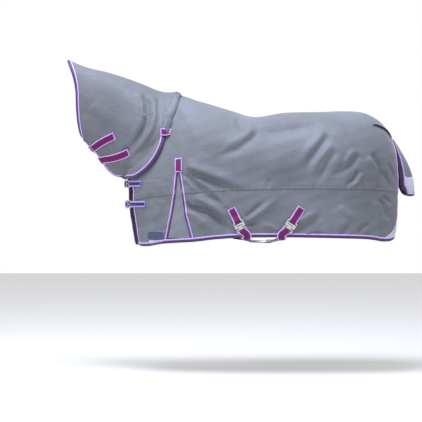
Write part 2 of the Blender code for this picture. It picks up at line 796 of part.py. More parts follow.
def make_neck_straps():
    """Each runs from the off throat edge across under the throat and up the near side."""
    for name, route in NECK_STRAPS.items():
        edge_s = route[0]
        points, outs = [], []
        for side in (1, -1):
            out = neck_out(edge_s, 1.0, side)
            edge = neck_point(edge_s, 1.0, LINING_DEPTH / 2, side)
            along = neck_point(edge_s + 0.1, 1.0, 0, side) - neck_point(edge_s - 0.1, 1.0, 0, side)
            beyond = along.cross(out).normalized()
            beyond *= -1 if beyond.z > 0 else 1
            middle = edge + beyond * (BINDING_R + EDGE_GAP)
            turns = (0.0, 0.5, 1.0) if side < 0 else (0.3, 0.0)
            for turn in turns:
                direction = beyond * math.cos(turn * math.pi / 2) + out * math.sin(turn * math.pi / 2)
                points.append(middle + direction * (BINDING_R + STRAP_WRAP))
                outs.append(direction)
        for s, t in route[1:]:
            points.append(neck_point(s, t, -BACKING, -1))
            outs.append(neck_out(s, t, -1))
        ribbon(name, points, outs, NECK_STRAP_WIDTH, WEBBING_THICK, "webbing")


# ---------------------------------------------------------------- tail flap


def flap_point(p, q, depth, _side):
    """p runs from the near edge over the tail to the off edge, and q from the rear edge down."""
    share = abs(2 * p - 1)
    side = -1 if p < 0.5 else 1
    top = body_point(BODY_END, share * FLAP_LEVEL, LINING_DEPTH / 2, side)
    back = FLAP_BACK * math.sin(q * FLAP_TURN) * (1 - FLAP_CUP * share**2)
    down = FLAP_LENGTH * q * (1 - FLAP_ROUND * share**4)
    start = 2 * (BINDING_R + EDGE_GAP)
    return top + Vector((start + back - depth * (1 - 0.4 * q), 0.0, -down + depth * 0.3))


def make_tail_flap():
    grid = (FLAP_COLUMNS, FLAP_ROWS)
    sheet("tail_flap", [(flap_point, *grid, -1)], 0.0, FLAP_THICK, "outer_cloth")
    round_the_edge = []
    for i in range(FLAP_ROWS + 1):
        round_the_edge.append((0.0, i / FLAP_ROWS))
    for i in range(1, FLAP_COLUMNS):
        round_the_edge.append((i / FLAP_COLUMNS, 1.0))
    for i in range(FLAP_ROWS, -1, -1):
        round_the_edge.append((1.0, i / FLAP_ROWS))
    path = []
    for p, q in round_the_edge:
        point = flap_point(p, q, FLAP_THICK / 2, 1)
        sideways = Vector((0, 2 * p - 1, 0))
        beyond = sideways.normalized() if q < 1 else (sideways * 0.8 + Vector((0, 0, -1))).normalized()
        if q == 0.0:
            continue
        path.append(point + beyond * (BINDING_R + 4 * EDGE_GAP))
    tube("tail_flap_binding", path, BINDING_R, "binding")


# ---------------------------------------------------------------- rings, hooks and straps


def fold(centre, along, out, radius, tail):
    """The turn of a strap round a bar: places and outward directions."""
    places, outs = [], []
    for i in range(5):
        a = math.pi * i / 4
        direction = out * math.cos(a) + along * math.sin(a)
        places.append(centre + direction * radius)
        outs.append(direction)
    places.append(places[-1] - along * tail)
    outs.append(-out)
    return places, outs


def d_ring(name, centre, along, out, width, length):
    """A D-shaped ring whose straight bar crosses centre and whose bow points along."""
    across = out.cross(along).normalized()
    half = width / 2
    path = [centre + across * half, centre - across * half]
    for i in range(9):
        a = math.pi * i / 8
        path.append(centre - across * half * math.cos(a) + along * (length * (0.25 + 0.75 * math.sin(a))))
    tube(name, path, WIRE_R, "steel", closed=True, sides=1)


class Line:
    """A line over the body at one height, measured from the near front edge towards the off side."""

    def __init__(self, z, lift):
        near = [on_rib(s / 4, z, lift, -1) for s in range(16, -1, -1)]
        off = [on_rib(s / 4, z, lift, 1) for s in range(1, 17)]
        self.points = near + off
        start = on_rib(NEAR_FRONT, z, lift, -1)
        lengths = [0.0]
        for a, b in zip(self.points, self.points[1:]):
            lengths.append(lengths[-1] + (b - a).length)
        nearest = min(range(len(self.points)), key=lambda i: (self.points[i] - start).length)
        self.lengths = [length - lengths[nearest] for length in lengths]

    def at(self, d):
        """The point, the direction along and the outward direction at a distance."""
        for i, (a, b) in enumerate(zip(self.lengths, self.lengths[1:])):
            if d <= b:
                break
        p, q = self.points[i], self.points[i + 1]
        along = (q - p).normalized()
        return p + (q - p) * (d - a) / (b - a), along, Vector((0, 0, 1)).cross(along).normalized()


def on_rib(s, z, lift, side):
    return body_point(s, level(z, s), -lift, side)


def make_chest_closure(name, z, tab_length):
    """Near tab, ring, snap hook with its gate and swivel eye, and the strap on the off side."""
    up = Vector((0, 0, 1))
    line = Line(z, 0.0)
    ring_place, along, out = line.at(RING_AT)
    bar = ring_place + out * BAR_LIFT
    places, outs = [], []
    for i in range(5):
        d = -tab_length + (tab_length + RING_AT - 0.006) * i / 4
        p, _, o = line.at(d)
        lift = BACKING + (BAR_LIFT + FOLD_R - BACKING) * max(0.0, (i - 2) / 2)
        places.append(p + o * lift)
        outs.append(o)
    turn, turn_outs = fold(bar, along, out, FOLD_R, 0.006)
    ribbon(f"{name}_near_tab", places + turn, outs + turn_outs, STRAP_WIDTH, WEBBING_THICK, "webbing")
    d_ring(f"{name}_ring", bar, along, out, RING_WIDTH, RING_LENGTH)
    hold = bar + along * RING_LENGTH
    make_snap_hook(name, hold, along, out)
    eye = hold + along * (HOOK_INNER + 2 * HOOK_WIRE_R + HOOK_SHANK + EYE_HEIGHT / 2 + 0.0004)
    matrix = Matrix.Translation(eye) @ Matrix((up, along, up.cross(along))).transposed().to_4x4()
    slot = rounded(STRAP_WIDTH + 0.003, EYE_SLOT, 0.002, 2)
    plate(f"{name}_eye", [rounded(STRAP_WIDTH + 0.013, EYE_HEIGHT, 0.004, 2), slot], EYE_THICK, matrix, "steel")
    make_off_strap(name, line, eye, along, up.cross(along) * -1)


def make_snap_hook(name, centre, along, out):
    """A hook bent round the ring's bow, in the plane of along and out, and the gate that shuts it."""
    r = HOOK_INNER + HOOK_WIRE_R
    path = [centre + along * (r + HOOK_SHANK)]
    for i in range(11):
        a = math.radians(HOOK_SWEEP) * i / 10
        path.append(centre + along * (r * math.cos(a)) + out * (r * math.sin(a)))
    tube(f"{name}_hook", path, HOOK_WIRE_R, "steel")
    a = math.radians(HOOK_SWEEP)
    tip = centre + along * (r * math.cos(a)) + out * (r * math.sin(a))
    root = centre + along * (r * 0.90) - out * (r * 0.62)
    toward = (root - tip).normalized()
    start = tip + toward * GATE_CLEAR
    tube(f"{name}_gate", [start, root], GATE_R, "steel")


def make_off_strap(name, line, eye, along, out):
    """The strap on the off side, folded round the outer bar of the swivel eye."""
    bar = eye + along * (EYE_HEIGHT + EYE_SLOT) / 4
    turn, turn_outs = fold(bar, -along, out, EYE_FOLD_R, 0.006)
    places, outs = turn[::-1], turn_outs[::-1]
    start = max(d for d, p in zip(line.lengths, line.points) if (p - eye).dot(along) < 0) + 0.045
    for i in range(5):
        p, _, o = line.at(start + OFF_STRAP_LENGTH * i / 4)
        places.append(p + o * (BACKING + 0.003))
        outs.append(o)
    ribbon(f"{name}_off_strap", places, outs, STRAP_WIDTH, WEBBING_THICK, "webbing")


# ---------------------------------------------------------------- surcingles


def make_surcingle(name, near_route, off_route, crossing_z):
    """Near strap and slot plate, T-hook and belly strap with its slider, and the sewn off strap."""
    plate_x, plate_z = near_route[-1]
    out = out_at(plate_x, plate_z, -1)
    centre = on_side(plate_x, plate_z, PLATE_LIFT, -1)
    before = on_side(*near_route[-2], PLATE_LIFT, -1)
    along = centre - before
    along = (along - out * out.dot(along)).normalized()
    matrix = frame_at(centre, along, out)
    outline = rounded(SURCINGLE_WIDTH + 0.014, PLATE_HEIGHT, 0.006, 2)
    strap_slot = rounded(SURCINGLE_WIDTH + 0.004, PLATE_SLOT, 0.002, 2, (0.0, STRAP_SLOT_AT))
    hook_slot = rounded(T_WIDTH, PLATE_SLOT, 0.002, 2, (0.0, HOOK_SLOT_AT))
    plate(f"{name}_slot_plate", [outline, strap_slot, hook_slot], PLATE_THICK, matrix, "steel")
    bar = centre - along * (STRAP_SLOT_AT + PLATE_SLOT / 2 + PLATE_BAR / 2)
    turn, turn_outs = fold(bar, along, out, PLATE_FOLD_R, 0.004)
    places = [on_side(x, z, BACKING, -1) for x, z in near_route[:-1]]
    outs = [out_at(x, z, -1) for x, z in near_route[:-1]]
    places.append(bar - along * 0.010 + out * PLATE_FOLD_R)
    outs.append(out)
    ribbon(f"{name}_near_strap", places + turn, outs + turn_outs, SURCINGLE_WIDTH, WEBBING_THICK, "webbing")
    make_t_hook(name, centre, along, out)
    make_belly_strap(name, centre, along, out, off_route, crossing_z)
    strap_on_side(f"{name}_off_strap", off_route, BACKING, SURCINGLE_WIDTH, 1)


def make_t_hook(name, centre, along, out):
    """A flat T whose head lies over the hook slot and whose slotted foot holds the belly strap."""
    w, h = SURCINGLE_WIDTH / 2 + 0.006, HOOK_FOOT
    head, neck = T_WIDTH / 2 - 0.002, 0.009
    top = HOOK_RISE
    outline = [
        (-head, top), (-head, top - 0.007), (-neck, top - 0.007), (-neck, 0.0), (-w, -0.004), (-w, -h),
        (w, -h), (w, -0.004), (neck, 0.0), (neck, top - 0.007), (head, top - 0.007), (head, top),
    ]
    slot = rounded(SURCINGLE_WIDTH + 0.003, PLATE_SLOT, 0.002, 2, (0.0, -h + PLATE_SLOT / 2 + PLATE_BAR))
    matrix = frame_at(centre + along * HOOK_DROP + out * (PLATE_THICK + HOOK_GAP), along, out)
    plate(f"{name}_t_hook", [outline[::-1], slot], PLATE_THICK, matrix, "steel")


def make_belly_strap(name, centre, along, out, off_route, crossing_z):
    """The strap from the T-hook's foot round the near hem, under the belly and up to the off hem."""
    bar = centre + along * (HOOK_DROP + HOOK_FOOT - PLATE_BAR / 2) + out * (PLATE_THICK + HOOK_GAP)
    turn, turn_outs = fold(bar, -along, out, PLATE_FOLD_R, 0.004)
    places, outs = turn[::-1], turn_outs[::-1]
    off_x, off_z = off_route[-1]
    near_x = bar.x + along.x * 0.06
    near_hem = hem_point(near_x, -1)
    off_hem = hem_point(off_x, 1)
    down = Vector((0, 0, -1))
    under_near = near_hem + Vector((0, 0.012, -BELLY_DROP))
    under_off = off_hem + Vector((0, -0.012, -BELLY_DROP))
    middle = Vector(((near_hem.x + off_hem.x) / 2, 0.0, crossing_z))
    for place, direction in (
        (near_hem + Vector((0, -BELLY_CLEAR, 0.004)), Vector((0, -1, 0))),
        (near_hem + Vector((0, -BELLY_CLEAR * 0.75, -BELLY_DROP * 0.62)), Vector((0, -1, -0.7))),
        (under_near, Vector((0, -0.35, -1))),
        (under_near.lerp(middle, 0.30) - Vector((0, 0, 0.004)), down),
        (middle, down),
        (under_off.lerp(middle, 0.30) - Vector((0, 0, 0.004)), down),
        (under_off, Vector((0, 0.35, -1))),
        (off_hem + Vector((0, BELLY_CLEAR * 0.75, -BELLY_DROP * 0.62)), Vector((0, 1, -0.7))),
        (off_hem + Vector((0, BELLY_CLEAR, 0.004)), Vector((0, 1, 0))),
        (off_hem + Vector((0, BELLY_CLEAR, 0.016)), Vector((0, 1, 0))),
    ):
        places.append(place)
        outs.append(direction)
    ribbon(f"{name}_belly_strap", places, outs, SURCINGLE_WIDTH, WEBBING_THICK, "webbing")
    start, end = under_near.lerp(middle, 0.30), middle
    run = (end - start).normalized()
    at = start.lerp(end, SLIDER_AT) - Vector((0, 0, 0.004 * (1 - SLIDER_AT) + WEBBING_THICK / 2))
    up = -Vector((0, 0, -1))
    across = up.cross(run).normalized()
    matrix = Matrix.Translation(at) @ Matrix((across, run.cross(across), run)).transposed().to_4x4()
    ring = [rounded(SURCINGLE_WIDTH + 0.010, SLIDER_HEIGHT, 0.003, 2)]
    ring.append(rounded(SURCINGLE_WIDTH + 0.004, SLIDER_HEIGHT - 0.006, 0.0015, 2))
    plate(f"{name}_slider", ring, SLIDER_LENGTH, matrix, "steel")


def hem_point(x, side):
    """The lower edge of the body's cloth at x."""
    s = solve(lambda s: body_curve(s, 1.0).x, x, 0.0, BODY_END)
    return body_point(s, 1.0, 0.0, side)


# ---------------------------------------------------------------- leg strap rings, label


def make_leg_ring(side, word):
    """A tab inside the rear hem with a ring hanging from it, for a leg strap."""
    inward = -out_at(LEG_RING_X, LEG_RING_Z, side)
    inward = Vector((inward.x * 0.2, inward.y, 0)).normalized()
    down = Vector((0, 0, -1))
    bar = on_side(LEG_RING_X, LEG_RING_Z, -LINING_DEPTH - LEG_RING_LIFT, side)
    turn, turn_outs = fold(bar, down, inward, FOLD_R, 0.006)
    places, outs = [], []
    for rise in (0.075, 0.045, 0.020):
        place = on_side(LEG_RING_X, LEG_RING_Z + rise, -LINING_DEPTH - LEG_TAB_LIFT, side)
        places.append(place)
        outs.append(inward)
    places.append(bar - down * 0.008 + inward * FOLD_R)
    outs.append(inward)
    ribbon(f"leg_tab_{word}", places + turn, outs + turn_outs, LEG_TAB_WIDTH, WEBBING_THICK, "webbing")
    d_ring(f"leg_ring_{word}", bar, down, inward, LEG_TAB_WIDTH + 0.008, RING_LENGTH)


def make_label():
    def place(p, q, depth, side):
        x = LABEL_X - LABEL_WIDTH / 2 + LABEL_WIDTH * p
        return on_side(x, LABEL_Z + LABEL_HEIGHT / 2 - LABEL_HEIGHT * q, -depth, side)
    sheet("label_patch", [(place, 2, 1, -1)], -BACKING, LABEL_THICK, "patch")


# ---------------------------------------------------------------- joints


def hang_on_joints():
    """Parents each moving piece to an empty on its joint's axis."""
    for joint, (place, names) in JOINTS.items():
        pivot = bpy.data.objects.new(joint, None)
        pivot.location = place
        pivot.empty_display_size = 0.02
        RUG.objects.link(pivot)
        for name in names:
            piece = bpy.data.objects[name]
            piece.parent = pivot
            piece.matrix_parent_inverse = Matrix.Translation(place).inverted()


# ---------------------------------------------------------------- run

clear_scene()
MATERIALS = make_materials()
RUG = bpy.data.collections.new("turnout_rug")
bpy.context.scene.collection.children.link(RUG)
make_panels()
make_filling()
make_lining()
make_gussets()
make_withers_pad()
make_bindings()
make_neckline_binding()
make_neck()
make_neck_straps()
make_tail_flap()
for closure, (height, tab_length) in CHEST_CLOSURES.items():
    make_chest_closure(closure, height, tab_length)
for surcingle, route in SURCINGLES.items():
    make_surcingle(surcingle, *route)
for side, word in SIDES:
    make_leg_ring(side, word)
make_label()
hang_on_joints()
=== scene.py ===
import json
import math
import bmesh
import bpy
import numpy as np
from mathutils import Matrix, Vector
from mathutils.bvhtree import BVHTree


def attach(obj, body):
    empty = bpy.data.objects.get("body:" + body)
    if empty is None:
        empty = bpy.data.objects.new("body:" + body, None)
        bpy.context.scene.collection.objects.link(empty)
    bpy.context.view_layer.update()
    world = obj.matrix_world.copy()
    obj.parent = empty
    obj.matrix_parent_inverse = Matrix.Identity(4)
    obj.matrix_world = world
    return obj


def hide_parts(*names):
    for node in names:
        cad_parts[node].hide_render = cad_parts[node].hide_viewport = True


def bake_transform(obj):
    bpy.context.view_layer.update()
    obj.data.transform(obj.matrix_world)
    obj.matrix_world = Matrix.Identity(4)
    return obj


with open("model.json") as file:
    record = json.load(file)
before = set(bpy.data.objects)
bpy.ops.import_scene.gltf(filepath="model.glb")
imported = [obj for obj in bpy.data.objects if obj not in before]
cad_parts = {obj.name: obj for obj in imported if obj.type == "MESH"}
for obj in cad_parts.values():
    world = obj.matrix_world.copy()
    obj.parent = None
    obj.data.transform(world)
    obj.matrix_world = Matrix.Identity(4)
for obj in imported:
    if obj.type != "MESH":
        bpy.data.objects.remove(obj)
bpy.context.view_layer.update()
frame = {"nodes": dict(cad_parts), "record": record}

print("frame:", len(frame["nodes"]), "nodes")

# camera: level, square to the near side, from well back
camera = {"place": (0.156, -9.0, -0.669), "fieldWidth": 2.532, "fieldAt": -0.15, "sensor": 36.0}
cameraData = bpy.data.cameras.new("camera")
cameraData.sensor_width = camera["sensor"]
cameraData.lens = camera["sensor"] * (camera["fieldAt"] - camera["place"][1]) / camera["fieldWidth"]
cameraObject = bpy.data.objects.new("camera", cameraData)
cameraObject.location = camera["place"]
cameraObject.rotation_euler = (math.pi / 2, 0, 0)
bpy.context.scene.collection.objects.link(cameraObject)
bpy.context.scene.camera = cameraObject


# materials

def linear(hexColour):
    parts = [int(hexColour[i:i + 2], 16) / 255 for i in (1, 3, 5)]
    return (*[c / 12.92 if c <= 0.04045 else ((c + 0.055) / 1.055) ** 2.4 for c in parts], 1.0)


def addNode(tree, kind, links=(), **values):
    # links: input name -> socket; values: node property or input name
    node = tree.nodes.new(kind)
    for name, value in values.items():
        if hasattr(node, name):
            setattr(node, name, value)
        else:
            node.inputs[name.replace("_", " ")].default_value = value
    for name, socket in dict(links).items():
        tree.links.new(socket, node.inputs[name])
    return node


def newMaterial(name, roughness, **sockets):
    material = bpy.data.materials.new(name)
    material.use_nodes = True
    shader = material.node_tree.nodes["Principled BSDF"]
    shader.inputs["Roughness"].default_value = roughness
    for key, value in sockets.items():
        shader.inputs[key.replace("_", " ")].default_value = value
    return material, material.node_tree, shader


def twoTones(tree, amount, dark, light, low=0.35, high=0.65):
    ramp = addNode(tree, "ShaderNodeValToRGB", {"Fac": amount})
    ramp.color_ramp.elements[0].position = low
    ramp.color_ramp.elements[0].color = linear(dark)
    ramp.color_ramp.elements[1].position = high
    ramp.color_ramp.elements[1].color = linear(light)
    return ramp.outputs["Color"]


def ripstopPolyester(name, dark, light, crumple):
    # woven polyester with a waterproof face: matt, faintly checked, with soft crumples that catch the light
    material, tree, shader = newMaterial(
        name, 0.62, Sheen_Weight=0.12, Sheen_Roughness=0.5, Specular_IOR_Level=0.35
    )
    where = addNode(tree, "ShaderNodeTexCoord")
    # 300 mm patches
    broad = addNode(tree, "ShaderNodeTexNoise", {"Vector": where.outputs["Object"]}, Scale=3.2, Detail=3.0)
    colour = twoTones(tree, broad.outputs["Fac"], dark, light)
    # 2.4 mm slubs, coarser than the thread so that they show
    weave = addNode(tree, "ShaderNodeTexNoise", {"Vector": where.outputs["UV"]}, Scale=420.0, Detail=1.0)
    shade = addNode(
        tree, "ShaderNodeMix", {"Factor": weave.outputs["Fac"]}, data_type="RGBA", blend_type="MULTIPLY"
    )
    shade.inputs[7].default_value = (0.86, 0.86, 0.88, 1.0)
    tree.links.new(colour, shade.inputs[6])
    tree.links.new(shade.outputs[2], shader.inputs["Base Color"])
    # 6 mm ripstop checks
    grid = addNode(
        tree, "ShaderNodeTexBrick", {"Vector": where.outputs["UV"]}, offset=0.0, squash=1.0, Scale=1.0,
        Mortar_Size=0.0006, Brick_Width=0.006, Row_Height=0.006
    )
    # 60 mm crumples
    soft = addNode(
        tree,
        "ShaderNodeTexNoise",
        {"Vector": where.outputs["Object"]},
        Scale=16.0,
        Detail=4.0,
        Roughness=0.55,
        Distortion=0.6
    )
    checks = addNode(
        tree, "ShaderNodeBump", {"Height": grid.outputs["Fac"]}, Strength=0.25, Distance=0.0004, invert=True
    )
    crumples = addNode(
        tree,
        "ShaderNodeBump",
        {"Height": soft.outputs["Fac"], "Normal": checks.outputs["Normal"]},
        Strength=crumple,
        Distance=0.012
    )
    threads = addNode(
        tree,
        "ShaderNodeBump",
        {"Height": weave.outputs["Fac"], "Normal": crumples.outputs["Normal"]},
        Strength=0.3,
        Distance=0.0005
    )
    tree.links.new(threads.outputs["Normal"], shader.inputs["Normal"])
    return material


def clothMaterial(name, dark, light, roughness, grain, depth, **sockets):
    # plain cloth: two close tones and a grain of the given size
    material, tree, shader = newMaterial(name, roughness, **sockets)
    where = addNode(tree, "ShaderNodeTexCoord")
    tone = addNode(
        tree, "ShaderNodeTexNoise", {"Vector": where.outputs["Object"]}, Scale=0.4 / grain, Detail=3.0
    )
    tree.links.new(twoTones(tree, tone.outputs["Fac"], dark, light), shader.inputs["Base Color"])
    fine = addNode(
        tree, "ShaderNodeTexNoise", {"Vector": where.outputs["Object"]}, Scale=1 / grain, Detail=2.0
    )
    bump = addNode(tree, "ShaderNodeBump", {"Height": fine.outputs["Fac"]}, Strength=0.5, Distance=depth)
    tree.links.new(bump.outputs["Normal"], shader.inputs["Normal"])
    return material


def stripedWebbing(name, centre, centreLight, edge, edgeShare):
    # herringbone polypropylene webbing: dyed centre, pale woven edges, ribs along it 2 mm apart
    material, tree, shader = newMaterial(
        name, 0.6, Sheen_Weight=0.08, Sheen_Roughness=0.4, Specular_IOR_Level=0.3
    )
    where = addNode(tree, "ShaderNodeTexCoord")
    parts = addNode(tree, "ShaderNodeSeparateXYZ", {"Vector": where.outputs["UV"]})
    fromMiddle = addNode(tree, "ShaderNodeMath", {0: parts.outputs["X"]}, operation="SUBTRACT")
    fromMiddle.inputs[1].default_value = 0.5
    distance = addNode(tree, "ShaderNodeMath", {0: fromMiddle.outputs[0]}, operation="ABSOLUTE")
    atEdge = addNode(tree, "ShaderNodeMath", {0: distance.outputs[0]}, operation="GREATER_THAN")
    atEdge.inputs[1].default_value = 0.5 - edgeShare
    ribs = addNode(
        tree, "ShaderNodeTexWave", {"Vector": where.outputs["UV"]}, bands_direction="Y", Scale=160.0,
        Distortion=1.5, Detail=1.0
    )
    dyed = twoTones(tree, ribs.outputs["Fac"], centre, centreLight, 0.2, 0.8)
    mixed = addNode(tree, "ShaderNodeMix", {"Factor": atEdge.outputs[0]}, data_type="RGBA")
    tree.links.new(dyed, mixed.inputs[6])
    mixed.inputs[7].default_value = linear(edge)
    tree.links.new(mixed.outputs[2], shader.inputs["Base Color"])
    bump = addNode(tree, "ShaderNodeBump", {"Height": ribs.outputs["Fac"]}, Strength=0.6, Distance=0.0006)
    tree.links.new(bump.outputs["Normal"], shader.inputs["Normal"])
    return material


def nickelPlate():
    # die-cast zinc with nickel plating: bright, with a soft cast skin and faint scuffs
    material, tree, shader = newMaterial("nickelPlatedZinc", 0.24, Metallic=1.0)
    where = addNode(tree, "ShaderNodeTexCoord")
    # 8 mm scuffed patches
    scuffs = addNode(tree, "ShaderNodeTexNoise", {"Vector": where.outputs["Object"]}, Scale=130.0, Detail=5.0)
    tree.links.new(twoTones(tree, scuffs.outputs["Fac"], "#b9babd", "#dcdde0"), shader.inputs["Base Color"])
    wear = addNode(
        tree, "ShaderNodeMapRange", {"Value": scuffs.outputs["Fac"]}, From_Min=0.3, From_Max=0.7, To_Min=0.18,
        To_Max=0.36
    )
    tree.links.new(wear.outputs["Result"], shader.inputs["Roughness"])
    skin = addNode(tree, "ShaderNodeBump", {"Height": scuffs.outputs["Fac"]}, Strength=0.2, Distance=0.0004)
    tree.links.new(skin.outputs["Normal"], shader.inputs["Normal"])
    return material


materials = {
    "outerCloth": ripstopPolyester("ripstopPolyester", "#5f6269", "#6c707a", 0.42),
    "gussetCloth": ripstopPolyester("ripstopPolyesterGusset", "#6b6f76", "#797e88", 0.25),
    "paleCloth": ripstopPolyester("paleReflectivePolyester", "#a9a9c0", "#c2c3d6", 0.25),
    # smooth and slightly shiny
    "lining": clothMaterial("navyNylonLining", "#1c1636", "#2a2148", 0.45, 0.004, 0.0008, Sheen_Weight=0.2),
    "wadding": clothMaterial("polyesterWadding", "#d9d8d2", "#ecebe6", 0.95, 0.008, 0.002),  # soft and matt
    # ribbed binding tape
    "tape": clothMaterial(
        "purpleGrosgrainTape", "#2d1247", "#43205f", 0.55, 0.003, 0.0006, Sheen_Weight=0.25
    ),
    "seamTape": clothMaterial("greyBindingTape", "#50515a", "#62636d", 0.6, 0.003, 0.0006),
    # satin over cord
    "piping": clothMaterial("lilacSatinPiping", "#a986cc", "#c0a2dd", 0.42, 0.003, 0.0005, Sheen_Weight=0.3),
    "webbing": stripedWebbing("purpleStripedWebbing", "#4e0442", "#6b0b5c", "#b998d6", 0.14),
    "chestWebbing": stripedWebbing("lilacStripedWebbing", "#28104a", "#3a1a60", "#9488c6", 0.27),
    "thread": clothMaterial("lilacPolyesterThread", "#bfa6da", "#d8c6ea", 0.5, 0.002, 0.0003),
    "greyThread": clothMaterial("greyPolyesterThread", "#9fa1ac", "#b4b6c0", 0.5, 0.002, 0.0003),
    "nickel": nickelPlate(),
    # soft moulded rubber
    "label": clothMaterial("mouldedRubberLabel", "#2e3752", "#3a4563", 0.4, 0.006, 0.0004, Coat_Weight=0.15),
    "labelRim": clothMaterial("mouldedRubberRim", "#5a6480", "#6c7693", 0.4, 0.006, 0.0004),
    # short pile, no shine
    "fleece": clothMaterial("polyesterFleece", "#4a4752", "#66626e", 0.98, 0.003, 0.003, Sheen_Weight=0.6),
}
print("materials:", len(materials))


# the rug's shape

# ribs on one side: top, widest point, hem, lean
bodyRibs = np.array([[*a, *b, *c, d] for a, b, c, d in [
    ((-0.352, 0.004, -0.465), (-0.345, 0.004, -0.560), (-0.306, 0.004, -0.862), 1.0),
    ((-0.335, 0.085, -0.445), (-0.325, 0.105, -0.560), (-0.288, 0.105, -0.866), 1.0),
    ((-0.300, 0.140, -0.385), (-0.255, 0.185, -0.540), (-0.228, 0.190, -0.868), 1.0),
    ((-0.235, 0.165, -0.285), (-0.150, 0.245, -0.500), (-0.140, 0.250, -0.852), 1.0),
    ((-0.160, 0.135, -0.145), (-0.040, 0.282, -0.460), (-0.045, 0.286, -0.845), 0.8),
    ((-0.095, 0.000, 0.034), (0.080, 0.300, -0.440), (0.060, 0.306, -0.838), 0.55),
    ((0.100, 0.000, -0.005), (0.200, 0.314, -0.430), (0.180, 0.320, -0.824), 0.25),
    ((0.260, 0.000, -0.052), (0.335, 0.325, -0.430), (0.330, 0.332, -0.814), 0.10),
    ((0.420, 0.000, -0.096), (0.470, 0.331, -0.430), (0.470, 0.338, -0.812), 0.0),
    ((0.600, 0.000, -0.071), (0.630, 0.332, -0.430), (0.630, 0.340, -0.812), 0.0),
    ((0.800, 0.000, -0.066), (0.800, 0.328, -0.420), (0.800, 0.336, -0.815), 0.0),
    ((0.960, 0.000, -0.061), (0.955, 0.314, -0.410), (0.960, 0.325, -0.819), 0.0),
    ((1.080, 0.000, -0.070), (1.085, 0.288, -0.410), (1.085, 0.303, -0.824), 0.0),
    ((1.170, 0.000, -0.114), (1.185, 0.245, -0.430), (1.185, 0.266, -0.838), 0.0),
    ((1.225, 0.000, -0.174), (1.250, 0.195, -0.450), (1.243, 0.222, -0.826), 0.1),
    ((1.258, 0.000, -0.226), (1.278, 0.145, -0.470), (1.266, 0.175, -0.780), 0.2),
]])
neckRibs = np.array([[*a, *b, *c, d] for a, b, c, d in [
    ((-0.708, 0.000, 0.250), (-0.652, 0.088, 0.020), (-0.618, 0.040, -0.235), 0.15),
    ((-0.600, 0.000, 0.207), (-0.550, 0.108, -0.040), (-0.570, 0.036, -0.290), 0.15),
    ((-0.480, 0.000, 0.178), (-0.435, 0.132, -0.100), (-0.520, 0.034, -0.345), 0.20),
    ((-0.360, 0.000, 0.141), (-0.330, 0.165, -0.160), (-0.475, 0.032, -0.412), 0.30),
    ((-0.250, 0.000, 0.100), (-0.250, 0.195, -0.215), (-0.430, 0.036, -0.450), 0.40),
    ((-0.155, 0.000, 0.062), (-0.190, 0.205, -0.240), (-0.380, 0.060, -0.460), 0.50),
    ((-0.050, 0.000, 0.044), (-0.134, 0.205, -0.240), (-0.300, 0.140, -0.462), 0.60),
]])
bodyEnd, neckEnd = len(bodyRibs) - 1.0, len(neckRibs) - 1.0
layers = {"outer": 0.0015, "fillTop": 0.0034, "fill": 0.0044, "liningTop": 0.0100, "lining": 0.0010}
fullDepth = layers["liningTop"] + layers["lining"]


def along(values, at):
    last = len(values) - 1
    i = np.clip(at.astype(int), 0, last - 1)
    f = (at - i)[:, None]
    a, b = values[i], values[i + 1]
    before = np.where(i[:, None] > 0, values[np.maximum(i - 1, 0)], a * 2 - b)
    after = np.where(i[:, None] < last - 1, values[np.minimum(i + 2, last)], b * 2 - a)
    return a + (b - before) * 0.5 * f + (
        before * 2 - a * 5 + b * 4 - after
    ) * (0.5 * f * f) + (a * 3 - before - b * 3 + after) * (0.5 * f**3)


def bend(p0, p1, p2, p3, t):
    u = 1 - t
    return p0 * u**3 + p1 * (3 * u * u * t) + p2 * (3 * u * t * t) + p3 * t**3


def onRibs(ribs, s, t, tuck):
    rib = along(ribs, s)
    top, wide, low, lean = rib[:, 0:3].copy(), rib[:, 3:6], rib[:, 6:9], rib[:, 9:10]
    top[:, 1] = np.maximum(top[:, 1], 0)
    t = t[:, None]
    out = (wide - top) * lean
    out[:, 1:2] += (wide - top)[:, 1:2] * (1 - lean)
    reach = 0.5523 * (1 - lean) + lean / 3
    rise = np.zeros_like(top)
    rise[:, 2] = ((top - wide)[:, 2:3] * reach)[:, 0]
    upper = bend(top, top + out * reach, wide + rise, wide, np.clip(t / 0.5, 0, 1))
    fall = np.zeros_like(top)
    fall[:, 2] = (low - wide)[:, 2] / 3 * (1 + tuck * 0.6)
    under = np.stack([wide[:, 0] - low[:, 0], wide[:, 1] - low[:, 1], np.zeros(len(low))], 1)
    lower = bend(
        wide,
        wide + fall,
        low + (wide - low) / 3 * (1 - tuck) + under * (0.5523 * tuck),
        low,
        np.clip((t - 0.5) / 0.5, 0, 1)
    )
    return np.where(t <= 0.5, upper, lower)


def bodyFace(s, t):
    p = onRibs(bodyRibs, s, t, 0.0)
    p[(t < 1e-6) & (s >= 5), 1] = 0.0
    return p


def outwards(face, s, t, end):
    a = face(np.minimum(s + 0.004, end), t) - face(np.maximum(s - 0.004, 0), t)
    d = face(s, np.minimum(t + 0.004, 1)) - face(s, np.maximum(t - 0.004, 0))
    n = np.cross(a, d)
    return n / np.linalg.norm(n, axis=1)[:, None]


def levelAt(z, s):
    low, high = np.zeros_like(s), np.ones_like(s)
    for _ in range(26):
        middle = (low + high) / 2
        above = bodyFace(s, middle)[:, 2] > z
        low, high = np.where(above, middle, low), np.where(above, high, middle)
    return (low + high) / 2


seamLine = {"high": -0.531, "sag": 0.0009, "station": 10.0}
seamStations = np.linspace(0, bodyEnd, 1501)
seamLevels = levelAt(
    seamLine["high"] - seamLine["sag"] * (seamStations - seamLine["station"]) ** 2, seamStations
)
seamPlaces = bodyFace(seamStations, seamLevels)


def seamLevel(s):
    return np.interp(s, seamStations, seamLevels)


